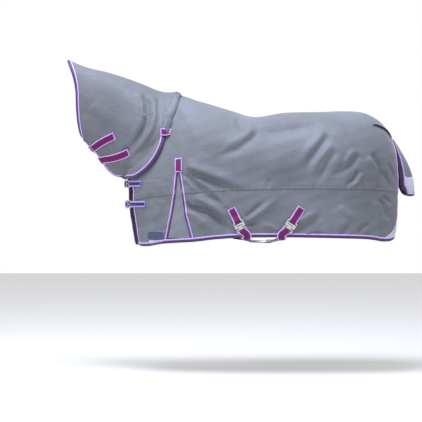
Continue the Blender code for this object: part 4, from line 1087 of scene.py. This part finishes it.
def seamCover(p, q, side):
    # cloth from the neck cover's rear edge down onto the body, above the side tabs
    level = q * (tabLevel + 0.02)
    edge, inner = neckSkin(np.full(len(q), neckEnd), level, side, -0.0024), neckSkin(
        np.full(len(q), neckEnd - 0.22), level, side, -0.0016
    )
    out = neckOut(np.full(len(q), neckEnd), level, side)
    out[q < 1e-6, 1] = 0
    way = edge - inner
    way /= np.linalg.norm(way, axis=1)[:, None]
    foot, footOut = np.zeros_like(edge), np.zeros_like(edge)
    for i, beyond in enumerate(edge + way * seamReach):
        near, normal, _, _ = bodyTree.find_nearest(Vector((beyond[0], abs(beyond[1]), beyond[2])))
        foot[i], footOut[i] = np.array(near + normal * 0.0034) * (1, side, 1), np.array(normal) * (1, side, 1)
    foot[q < 1e-6, 1] = footOut[q < 1e-6, 1] = 0
    points = bend(
        inner, edge + way * 0.020 + out * 0.004, foot - way * 0.004 + footOut * 0.005, foot, p[:, None]
    )
    return points, np.stack([points[:, 0], level * 0.62], 1)


seamReach = 0.030
cloth(
    "neckSeamCover", [(seamCover, 16, 70, side) for side in (-1, 1)], 0.0010, "outerCloth", []
)
for side, word in names.items():
    parts = [
        (np.full(40, neckEnd), np.linspace(tabLevel + 0.03, 1, 40), side, (1, 0, 0)),
        (np.linspace(neckEnd, 0, 90)[1:-1], np.ones(88), side, (0, -side * 0.8, -1)),
        (np.zeros(60), np.linspace(1, 0.001, 60), side, (-1, 0, 0))
    ]
    cordAlong("neckPiping." + word, *edgeRun(parts, neckSkin, neckOut), -0.0075, 0.0022, "rug")
    levels = np.linspace(0, 1, 60)
    points = seamCover(np.ones(60), levels, side)[0]
    outs = neckOut(np.full(60, neckEnd), levels * (tabLevel + 0.02), side)
    # a dark tube in the lining colour, painted as the shadow line under the neck cover's rear edge
    sweep(
        "neckSeamShadow." + word,
        points,
        outs,
        frames(points, outs, np.array([[1, 0, 0]] * 60)),
        [(0.0028, 0.0), (0.0, 0.0024), (-0.0028, 0.0), (0.0, -0.0024)],
        "lining",
    )
    stations = np.array([5.75, 5.83, 5.92, 6.0])
    onNeck = neckSkin(stations, np.full(4, tabLevel), side, -neckTab["lift"])
    neckOuts = neckOut(stations, np.full(4, tabLevel), side)
    rearward = onNeck[-1] - onNeck[-2]
    beyond = onNeck[-1] + rearward / np.linalg.norm(rearward) * neckTab["reach"]
    tabX = beyond[0] + np.array([0.020, 0.030])
    strap(
        "neckTab." + word,
        [*onNeck, beyond, *sideAt(tabX, np.full(2, beyond[2]), 0.0028, side)],
        [*neckOuts, neckOuts[-1], *outAt(tabX, np.full(2, beyond[2]), side)],
        neckTab["width"],
        "rug",
        ["neck_tab_" + word]
    )
neckStraps = {
    "neck_strap_upper": (1.0, [(1.15, 0.92), (1.40, 0.83), (1.70, 0.75), (2.20, 0.65)]),
    "neck_strap_lower": (2.2, [(2.35, 0.92), (2.60, 0.85), (2.90, 0.78), (3.30, 0.70)])
}
for name, (edgeS, route) in neckStraps.items():
    points, outs = [], []
    for side in (1, -1):
        one = np.array([edgeS])
        out = Vector(neckOut(one, np.ones(1), side)[0])
        edge = Vector(neckSkin(one, np.ones(1), side, 0.0055)[0])
        tangent = Vector(neckSkin(one + 0.1, np.ones(1), side)[0] - neckSkin(one - 0.1, np.ones(1), side)[0])
        beyond = tangent.cross(out).normalized()
        beyond *= -1 if beyond.z > 0 else 1
        middle = edge + beyond * 0.0074
        for turn in (0.0, 0.35, 0.7, 1.0) if side < 0 else (0.3, 0.0):
            direction = beyond * math.cos(turn * math.pi / 2) + out * math.sin(turn * math.pi / 2)
            points.append(middle + direction * 0.0102)
            outs.append(direction)
    fineRoute = along(np.array(route), np.linspace(0, len(route) - 1, 10))
    points += list(neckSkin(fineRoute[:, 0], fineRoute[:, 1], -1, -0.0036))
    outs += list(neckOut(fineRoute[:, 0], fineRoute[:, 1], -1))
    strap(name.replace("_", "."), points, outs, neckStrapWidth, name, [name])
print("neck cover")


# hardware from the frame's own shapes, rounded as castings are

def casting(node, body, kind):
    # a merged, rounded copy of a fitting
    shape = bmesh.new()
    shape.from_mesh(frame["nodes"][node].data)
    bmesh.ops.remove_doubles(shape, verts=shape.verts, dist=1e-6)
    if kind == "plate":
        bmesh.ops.dissolve_limit(shape, angle_limit=math.radians(1), verts=shape.verts, edges=shape.edges)
        sharp = [e for e in shape.edges if len(e.link_faces) == 2 and e.calc_face_angle(0) > math.radians(50)]
        bmesh.ops.bevel(
            shape, geom=sharp, offset=0.0007, offset_type="OFFSET", segments=3, profile=0.5, affect="EDGES",
            material=-1, clamp_overlap=True
        )
    piece = place(shape, node.replace("_", "."), "nickel", body, [node], smooth=kind == "wire")
    if kind == "wire":
        rounding = piece.modifiers.new("rounding", "SUBSURF")
        rounding.levels = rounding.render_levels = 2
    return piece


bodyOf = {node: body for body, nodes in frame["record"]["behaviour"]["bodies"].items() for node in nodes}
for chest in ("upper_chest", "lower_chest"):
    for word in ("ring", "hook", "gate"):
        casting(f"{chest}_{word}", bodyOf[f"{chest}_{word}"], "wire")
    casting(chest + "_eye", "rug", "plate")
for surcingle in ("front_surcingle", "rear_surcingle"):
    for word in ("slot_plate", "t_hook", "slider"):
        casting(f"{surcingle}_{word}", bodyOf[f"{surcingle}_{word}"], "plate")
for word in names.values():
    casting("leg_ring_" + word, "leg_ring_" + word, "wire")
print("hardware")


# straps

def foldRound(centre, along_, out, radius, tail):
    places = [
        centre + (out * math.cos(a) + along_ * math.sin(a)) * radius for a in np.linspace(0, math.pi, 9)
    ]
    outs = [out * math.cos(a) + along_ * math.sin(a) for a in np.linspace(0, math.pi, 9)]
    return places + [places[-1] - along_ * tail], outs + [-out]


def ribSide(s, z, side):
    s = np.atleast_1d(float(s))
    return Vector(bodySkin(s, levelAt(z, s), side)[0])


class ChestLine:
    # distances from the near front edge towards the off side, over the smooth body
    def __init__(self, z):
        self.points = [
            ribSide(i / 4, z, -1) for i in range(16, -1, -1)
        ] + [ribSide(i / 4, z, 1) for i in range(1, 17)]
        start = ribSide(cut["nearFront"], z, -1)
        run = np.concatenate([[0], np.cumsum([(b - a).length for a, b in zip(self.points, self.points[1:])])])
        self.run = run - run[min(range(len(self.points)), key=lambda i: (self.points[i] - start).length)]

    def at(self, d):
        i = int(np.clip(np.searchsorted(self.run, d) - 1, 0, len(self.run) - 2))
        a, b = self.points[i], self.points[i + 1]
        way = (b - a).normalized()
        return a + (b - a) * (
            (d - self.run[i]) / (self.run[i + 1] - self.run[i])
        ), way, Vector((0, 0, 1)).cross(way).normalized()


chest = {
    "ringAt": 0.022, "barLift": 0.0075, "foldRadius": 0.0030, "ringLength": 0.022, "hookReach": 0.0100,
    "shank": 0.010, "eyeHeight": 0.020, "eyeSlot": 0.009, "eyeFold": 0.0038, "width": 0.038
}
for name, z, tabLength in (("upper_chest", -0.505, 0.085), ("lower_chest", -0.628, 0.100)):
    line = ChestLine(z)
    ringPlace, way, out = line.at(chest["ringAt"])
    bar = ringPlace + out * chest["barLift"]
    places, outs = [], []
    for i in range(9):
        p, _, o = line.at(-tabLength + (tabLength + chest["ringAt"] - 0.006) * i / 8)
        places.append(
            p + o * (0.0030 + (chest["barLift"] + chest["foldRadius"] - 0.0030) * max(0.0, (i - 4) / 4))
        )
        outs.append(o)
    turn, turnOuts = foldRound(bar, way, out, chest["foldRadius"], 0.006)
    strap(
        f"{name}.tab".replace("_", "."), places + turn, outs + turnOuts, chest["width"], "rug",
        [name + "_near_tab"], "chestWebbing", spacing=0.002
    )
    hold = bar + way * chest["ringLength"]
    eye = hold + way * (chest["hookReach"] + chest["shank"] + chest["eyeHeight"] / 2 + 0.0004)
    up = Vector((0, 0, 1))
    turn, turnOuts = foldRound(
        eye + way * (chest["eyeHeight"] + chest["eyeSlot"]) / 4,
        -way,
        up.cross(way) * -1,
        chest["eyeFold"],
        0.006
    )
    places, outs = turn[::-1], turnOuts[::-1]
    start = max(d for d, p in zip(line.run, line.points) if (p - eye).dot(way) < 0) + 0.045
    for i in range(9):
        p, _, o = line.at(start + 0.110 * i / 8)
        places.append(p + o * 0.0055)
        outs.append(o)
    strap(
        f"{name}.strap".replace("_", "."),
        places,
        outs,
        chest["width"],
        "rug",
        [name + "_off_strap"],
        "chestWebbing",
        spacing=0.003
    )


def hemPlace(x, side):
    low, high = 0.0, bodyEnd
    for _ in range(26):
        middle = (low + high) / 2
        low, high = (middle, high) if bodyFace(np.array([middle]), np.ones(1))[0, 0] < x else (low, middle)
    p = bodyFace(np.array([(low + high) / 2]), np.ones(1))[0]
    return Vector((p[0], p[1] * side, p[2]))


surcingles = {
    "front_surcingle": (
        [(0.275, -0.655), (0.286, -0.677), (0.297, -0.699), (0.3215, -0.748)],
        [(0.592, -0.655), (0.596, -0.695), (0.600, -0.735), (0.604, -0.775)],
        -0.862
    ),
    "rear_surcingle": (
        [(0.690, -0.650), (0.675, -0.673), (0.660, -0.696), (0.6265, -0.747)],
        [(0.300, -0.655), (0.305, -0.695), (0.310, -0.735), (0.315, -0.775)],
        -0.850
    ),
}
fitting = {
    "lift": 0.0105, "slotAt": 0.009, "slot": 0.0085, "bar": 0.0050, "fold": 0.0036, "foot": 0.022,
    "drop": 0.024, "thick": 0.0025, "gap": 0.0006, "width": 0.050
}
for name, (nearRoute, offRoute, crossing) in surcingles.items():
    x, z = nearRoute[-1]
    out = Vector(outAt(x, z, -1)[0])
    smooth = [
        Vector(
            inwards(
                bodyFace(*spotAt(*place_)),
                outwards(bodyFace, *spotAt(*place_), bodyEnd),
                -fitting["lift"],
                -1
            )[0]
        ) for place_ in (nearRoute[-1], nearRoute[-2])
    ]
    centre = smooth[0]
    way = centre - smooth[1]
    way = (way - out * out.dot(way)).normalized()
    bar = centre - way * (fitting["slotAt"] + fitting["slot"] / 2 + fitting["bar"] / 2)
    turn, turnOuts = foldRound(bar, way, out, fitting["fold"], 0.004)
    route = along(np.array(nearRoute[:-1]), np.linspace(0, 2, 9))
    places, outs = [
        Vector(p) for p in sideAt(route[:, 0], route[:, 1], 0.0030, -1)
    ], [Vector(o) for o in outAt(route[:, 0], route[:, 1], -1)]
    places, outs = places + [bar - way * 0.010 + out * fitting["fold"]] + turn, outs + [out] + turnOuts
    strap(
        name.replace("_", ".") + ".near", places, outs, fitting["width"], "rug", [name + "_near_strap"],
        spacing=0.003
    )
    route = along(np.array(offRoute), np.linspace(0, 3, 12))
    strap(
        name.replace("_", ".") + ".off",
        sideAt(route[:, 0], route[:, 1], 0.0030, 1),
        outAt(route[:, 0], route[:, 1], 1),
        fitting["width"],
        "rug",
        [name + "_off_strap"]
    )
    bar = centre + way * (
        fitting["drop"] + fitting["foot"] - fitting["bar"] / 2
    ) + out * (fitting["thick"] + fitting["gap"])
    turn, turnOuts = foldRound(bar, -way, out, fitting["fold"], 0.004)
    places, outs = turn[::-1], turnOuts[::-1]
    nearHem, offHem = hemPlace(bar.x + way.x * 0.06, -1), hemPlace(offRoute[-1][0], 1)
    down, drop, clear = Vector((0, 0, -1)), 0.024, 0.012
    underNear, underOff = nearHem + Vector((0, 0.012, -drop)), offHem + Vector((0, -0.012, -drop))
    middle = Vector(((nearHem.x + offHem.x) / 2, 0, crossing))
    for p, o in (
        (nearHem + Vector((0, -clear, 0.004)), Vector((0, -1, 0))), (
            nearHem + Vector((0, -clear * 0.75, -drop * 0.62)), Vector((0, -1, -0.7))
        ),
        (underNear, Vector((0, -0.35, -1))), (
            underNear.lerp(middle, 0.30) - Vector((0, 0, 0.004)), down
        ), (middle, down),
        (underOff.lerp(middle, 0.30) - Vector((0, 0, 0.004)), down), (underOff, Vector((0, 0.35, -1))),
        (
            offHem + Vector((0, clear * 0.75, -drop * 0.62)), Vector((0, 1, -0.7))
        ), (offHem + Vector((0, clear, 0.004)), Vector((0, 1, 0))), (offHem + Vector((0, clear, 0.016)), Vector((0, 1, 0))),
    ):
        places.append(p)
        outs.append(o.normalized())
    strap(
        name.replace("_", ".") + ".belly",
        places,
        outs,
        fitting["width"],
        name.replace("surcingle", "belly_strap"),
        [name + "_belly_strap"],
        spacing=0.006
    )
legRing = {"x": 1.150, "z": -0.720, "lift": 0.0140, "tabLift": 0.0085, "width": 0.025}
for side, word in names.items():
    inward = -Vector(outAt(legRing["x"], legRing["z"], side)[0])
    inward = Vector((inward.x * 0.2, inward.y, 0)).normalized()
    down = Vector((0, 0, -1))

    def within(rise, lift):
        spot = spotAt(legRing["x"], legRing["z"] + rise)
        return Vector(inwards(bodyFace(*spot), outwards(bodyFace, *spot, bodyEnd), 0.011 + lift, side)[0])

    bar = within(0, legRing["lift"])
    turn, turnOuts = foldRound(bar, down, inward, 0.0030, 0.006)
    places = [
        within(rise, legRing["tabLift"]) for rise in (0.075, 0.045, 0.020)
    ] + [bar - down * 0.008 + inward * 0.0030]
    strap(
        "legTab." + word, places + turn, [inward] * 4 + turnOuts, legRing["width"], "rug",
        ["leg_tab_" + word], spacing=0.003
    )
print("straps")


# tail flap

flap = {
    "level": 0.20, "length": 0.330, "back": 0.125, "turn": 1.75, "cup": 0.72, "round": 0.33, "start": 0.0148,
    "thick": 0.0030
}


def flapPoints(p, q, lift=0.0):
    share = np.abs(2 * p - 1)
    side = np.where(p < 0.5, -1.0, 1.0)
    end = np.full(len(p), bodyEnd)
    face, out = bodyFace(end, share * flap["level"]), outwards(bodyFace, end, share * flap["level"], bodyEnd)
    top = inwards(face, out, 0.0055, 1)
    top[:, 1] *= side
    back = flap["back"] * np.sin(q * flap["turn"]) * (1 - flap["cup"] * share**2)
    down = flap["length"] * q * (1 - flap["round"] * share**4)
    hang = (0.006 * np.cos(p * 16 + 0.5) + 0.004 * np.sin(p * 27)) * q**1.2
    return top + np.stack([flap["start"] + back + hang + lift, np.zeros(len(p)), -down], 1)


def flapCloth(low, high, lift):
    def where(p, q, side):
        q = low + (high - low) * q
        return flapPoints(p, q, lift), np.stack([p * 0.2, q * flap["length"]], 1)
    return where


flapPieces = [
    cloth(
        "tailFlap",
        [(flapCloth(0.0, 1.0, 0.0), 48, 60, -1)],
        flap["thick"],
        "outerCloth",
        ["tail_flap"],
        None
    ),
    cloth(
        "tailFlapFacing",
        [(flapCloth(0.66, 0.985, 0.0016), 48, 24, -1)],
        0.0010,
        "paleCloth",
        [],
        None
    ),
]
edgeP = np.concatenate([np.zeros(40), np.linspace(0, 1, 60)[1:-1], np.ones(40)])
edgeQ = np.concatenate([np.linspace(0.04, 1, 40), np.ones(58), np.linspace(1, 0.04, 40)])
points = flapPoints(edgeP, edgeQ)
du, dv = flapPoints(
    np.clip(edgeP + 0.01, 0, 1), edgeQ
) - flapPoints(np.clip(edgeP - 0.01, 0, 1), edgeQ), flapPoints(edgeP, np.clip(edgeQ + 0.01, 0, 1)) - flapPoints(edgeP, np.clip(edgeQ - 0.01, 0, 1))
outs = np.cross(dv, du)
outs *= np.sign(outs[:, :1]) / np.linalg.norm(outs, axis=1)[:, None]
aways = frames(
    points,
    outs,
    np.stack([np.zeros(138), np.where(edgeQ < 1, 2 * edgeP - 1, 0), np.where(edgeQ < 1, 0, -1)], 1)
)
flapTape = [
    (-0.009, 0.0026), (0.0, 0.0028), (0.0040, 0.0010), (0.0048, -0.0015), (0.0040, -0.0040), (0.0, -0.0056),
    (-0.009, -0.0052), (-0.009, -0.0042), (0.0, -0.0044), (0.0030, -0.0030), (0.0034, -0.0015), (0.0030, 0.0),
    (0.0, 0.0018), (-0.009, 0.0016)
]
flapPieces.append(
    sweep("tailFlapTape", points, outs, aways, flapTape, "tape", None, ["tail_flap_binding"])
)
flapPieces.append(cordAlong("tailFlapPiping", points, outs, aways, -0.0110, 0.0026, None))
for piece in flapPieces:
    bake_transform(piece)
print("tail flap")


# label, pale trims, pleat, pad, stitching

label = {"x": -0.170, "z": -0.815, "width": 0.112, "height": 0.058}


def sidePatch(x0, x1, z0, z1, lift, corner=0.0, taper=0.0):
    def where(p, q, side):
        u, v = 2 * p - 1, 2 * q - 1
        if corner:
            u, v = u * np.sqrt(1 - corner * v * v / 2), v * np.sqrt(1 - corner * u * u / 2)
        x = (x0 + x1) / 2 + (x1 - x0) / 2 * u * (1 - taper * q)
        z = (z0 + z1) / 2 + (z1 - z0) / 2 * v
        return sideAt(x, z, lift, side), np.stack([x, z], 1)
    return where


lw, lh = label["width"] / 2, label["height"] / 2
cloth(
    "label",
    [
        (
            sidePatch(
                label["x"] - lw + 0.004, label["x"] + lw - 0.004, label["z"] + lh - 0.004,
                label["z"] - lh + 0.004, 0.0042, 0.55
            ),
            30,
            18,
            -1
        )
    ],
    0.0015,
    "label",
    ["label_patch"]
)
cloth(
    "labelRim",
    [
        (
            sidePatch(label["x"] - lw, label["x"] + lw, label["z"] + lh, label["z"] - lh, 0.0030, 0.55),
            30,
            18,
            -1
        )
    ],
    0.0012,
    "labelRim",
    []
)
cloth(
    "labelBacking",
    [
        (
            sidePatch(
                label["x"] - 0.042, label["x"] + 0.042, label["z"] - lh + 0.002, label["z"] - lh - 0.026,
                0.0022, 0.0, 0.25
            ),
            20,
            6,
            -1
        )
    ],
    0.0008,
    "paleCloth",
    []
)


def cornerPatch(p, q, side):
    # triangle over the rear lower corner: its long edge runs from the hem up to the rear edge
    s = bodyEnd - (1 - p) * 2.1 - 0.01
    t = 0.990 - (1 - q) * 0.115 * (0.02 + 0.98 * p)
    return bodySkin(s, t, side, -0.0030), np.stack([s * 0.1, t], 1)


for side, word in names.items():
    cloth("cornerPatch." + word, [(cornerPatch, 30, 30, side)], 0.0008, "paleCloth", [])
pleatLine = along(
    np.array([(1.125, -0.150), (1.160, -0.158), (1.200, -0.178), (1.235, -0.205), (1.258, -0.226)]),
    np.linspace(0, 4, 40)
)


def pleat(lift, drop, rise):
    def where(p, q, side):
        line = along(pleatLine, p * 39)
        x, z = line[:, 0] + 0.010 * rise * (1 - q), line[:, 1] + rise * 0.022 * (1 - q) - drop * q
        return sideAt(
            x,
            z,
            lift[0] + (lift[1] - lift[0]) * q**1.5 * np.sin(np.clip(p, 0.02, 0.98) * math.pi) ** 0.5,
            side
        ), np.stack([x, q * 0.03], 1)
    return where


for side, word in names.items():
    cloth(
        "pleatLip." + word,
        [(pleat((0.0018, 0.0110), 0.0, 1.0), 40, 8, side)],
        0.0012,
        "outerCloth",
        []
    )
    # dark lining cloth under the pleat's lip: partly the pleat's dark facing, partly painted shade in the
    # slit
    cloth(
        "pleatInsideAndShade." + word,
        [(pleat((0.0012, 0.0012), 0.009, 0.35), 40, 6, side)],
        0.0006,
        "lining",
        []
    )


def padPatch(p, q, side):
    edge = slitStation(slitRear, q / 6, True)
    s = edge + 0.75 * p
    points = bodySkin(s, rowLevel(s, q / 6, True), side, fullDepth + 0.0005)
    return points, weaveOf(points, q)


pad = cloth(
    "withersPad", [(padPatch, 24, 20, side) for side in (-1, 1)], 0.0025, "fleece", ["withers_pad"]
)
for side, word in names.items():
    s = evenStations(slitStation(slitRear, np.ones(1), True)[0] + 0.1, bodyEnd - 0.1, np.linspace(0, 1, 260))
    for row, t in (("upper", seamLevel(s) - 0.002), ("lower", seamLevel(s) + 0.006)):
        stitches(
            f"seamStitches.{row}.{word}", bodySkin(s, t, side, -0.0022), bodyOut(s, t, side), "rug",
            "greyThread"
        )
print("trims and stitching")


# floor and light

floor = {"height": -1.640, "size": 14.0}
ground = bmesh.new()
bmesh.ops.create_grid(ground, x_segments=1, y_segments=1, size=floor["size"])
bmesh.ops.translate(ground, verts=ground.verts, vec=(0, 0, floor["height"]))
floorMaterial, floorTree, floorShader = newMaterial("paleFloor", 0.9)
floorShader.inputs["Base Color"].default_value = linear("#cfcfcf")
materials["floor"] = floorMaterial
place(ground, "floor", "floor", None, smooth=False)
world = bpy.data.worlds.new("world")
bpy.context.scene.world = world
world.use_nodes = True
world.node_tree.nodes["Background"].inputs["Color"].default_value = linear("#ffffff")
world.node_tree.nodes["Background"].inputs["Strength"].default_value = 1.0
lights = {"sky": ((-0.2, -1.5, 4.4), 2.2, 400, "#e2ebff"), "front": ((-3.6, -2.6, 2.0), 1.6, 60, "#ffffff")}
for name, (where, size, power, colour) in lights.items():
    light = bpy.data.lights.new(name, "AREA")
    light.size, light.energy, light.color = size, power, linear(colour)[:3]
    lamp = bpy.data.objects.new(name, light)
    lamp.location = where
    lamp.rotation_euler = (Vector((0.3, 0, -0.4)) - Vector(where)).to_track_quat("-Z", "Y").to_euler()
    bpy.context.scene.collection.objects.link(lamp)
bpy.context.scene.view_settings.view_transform = "Standard"
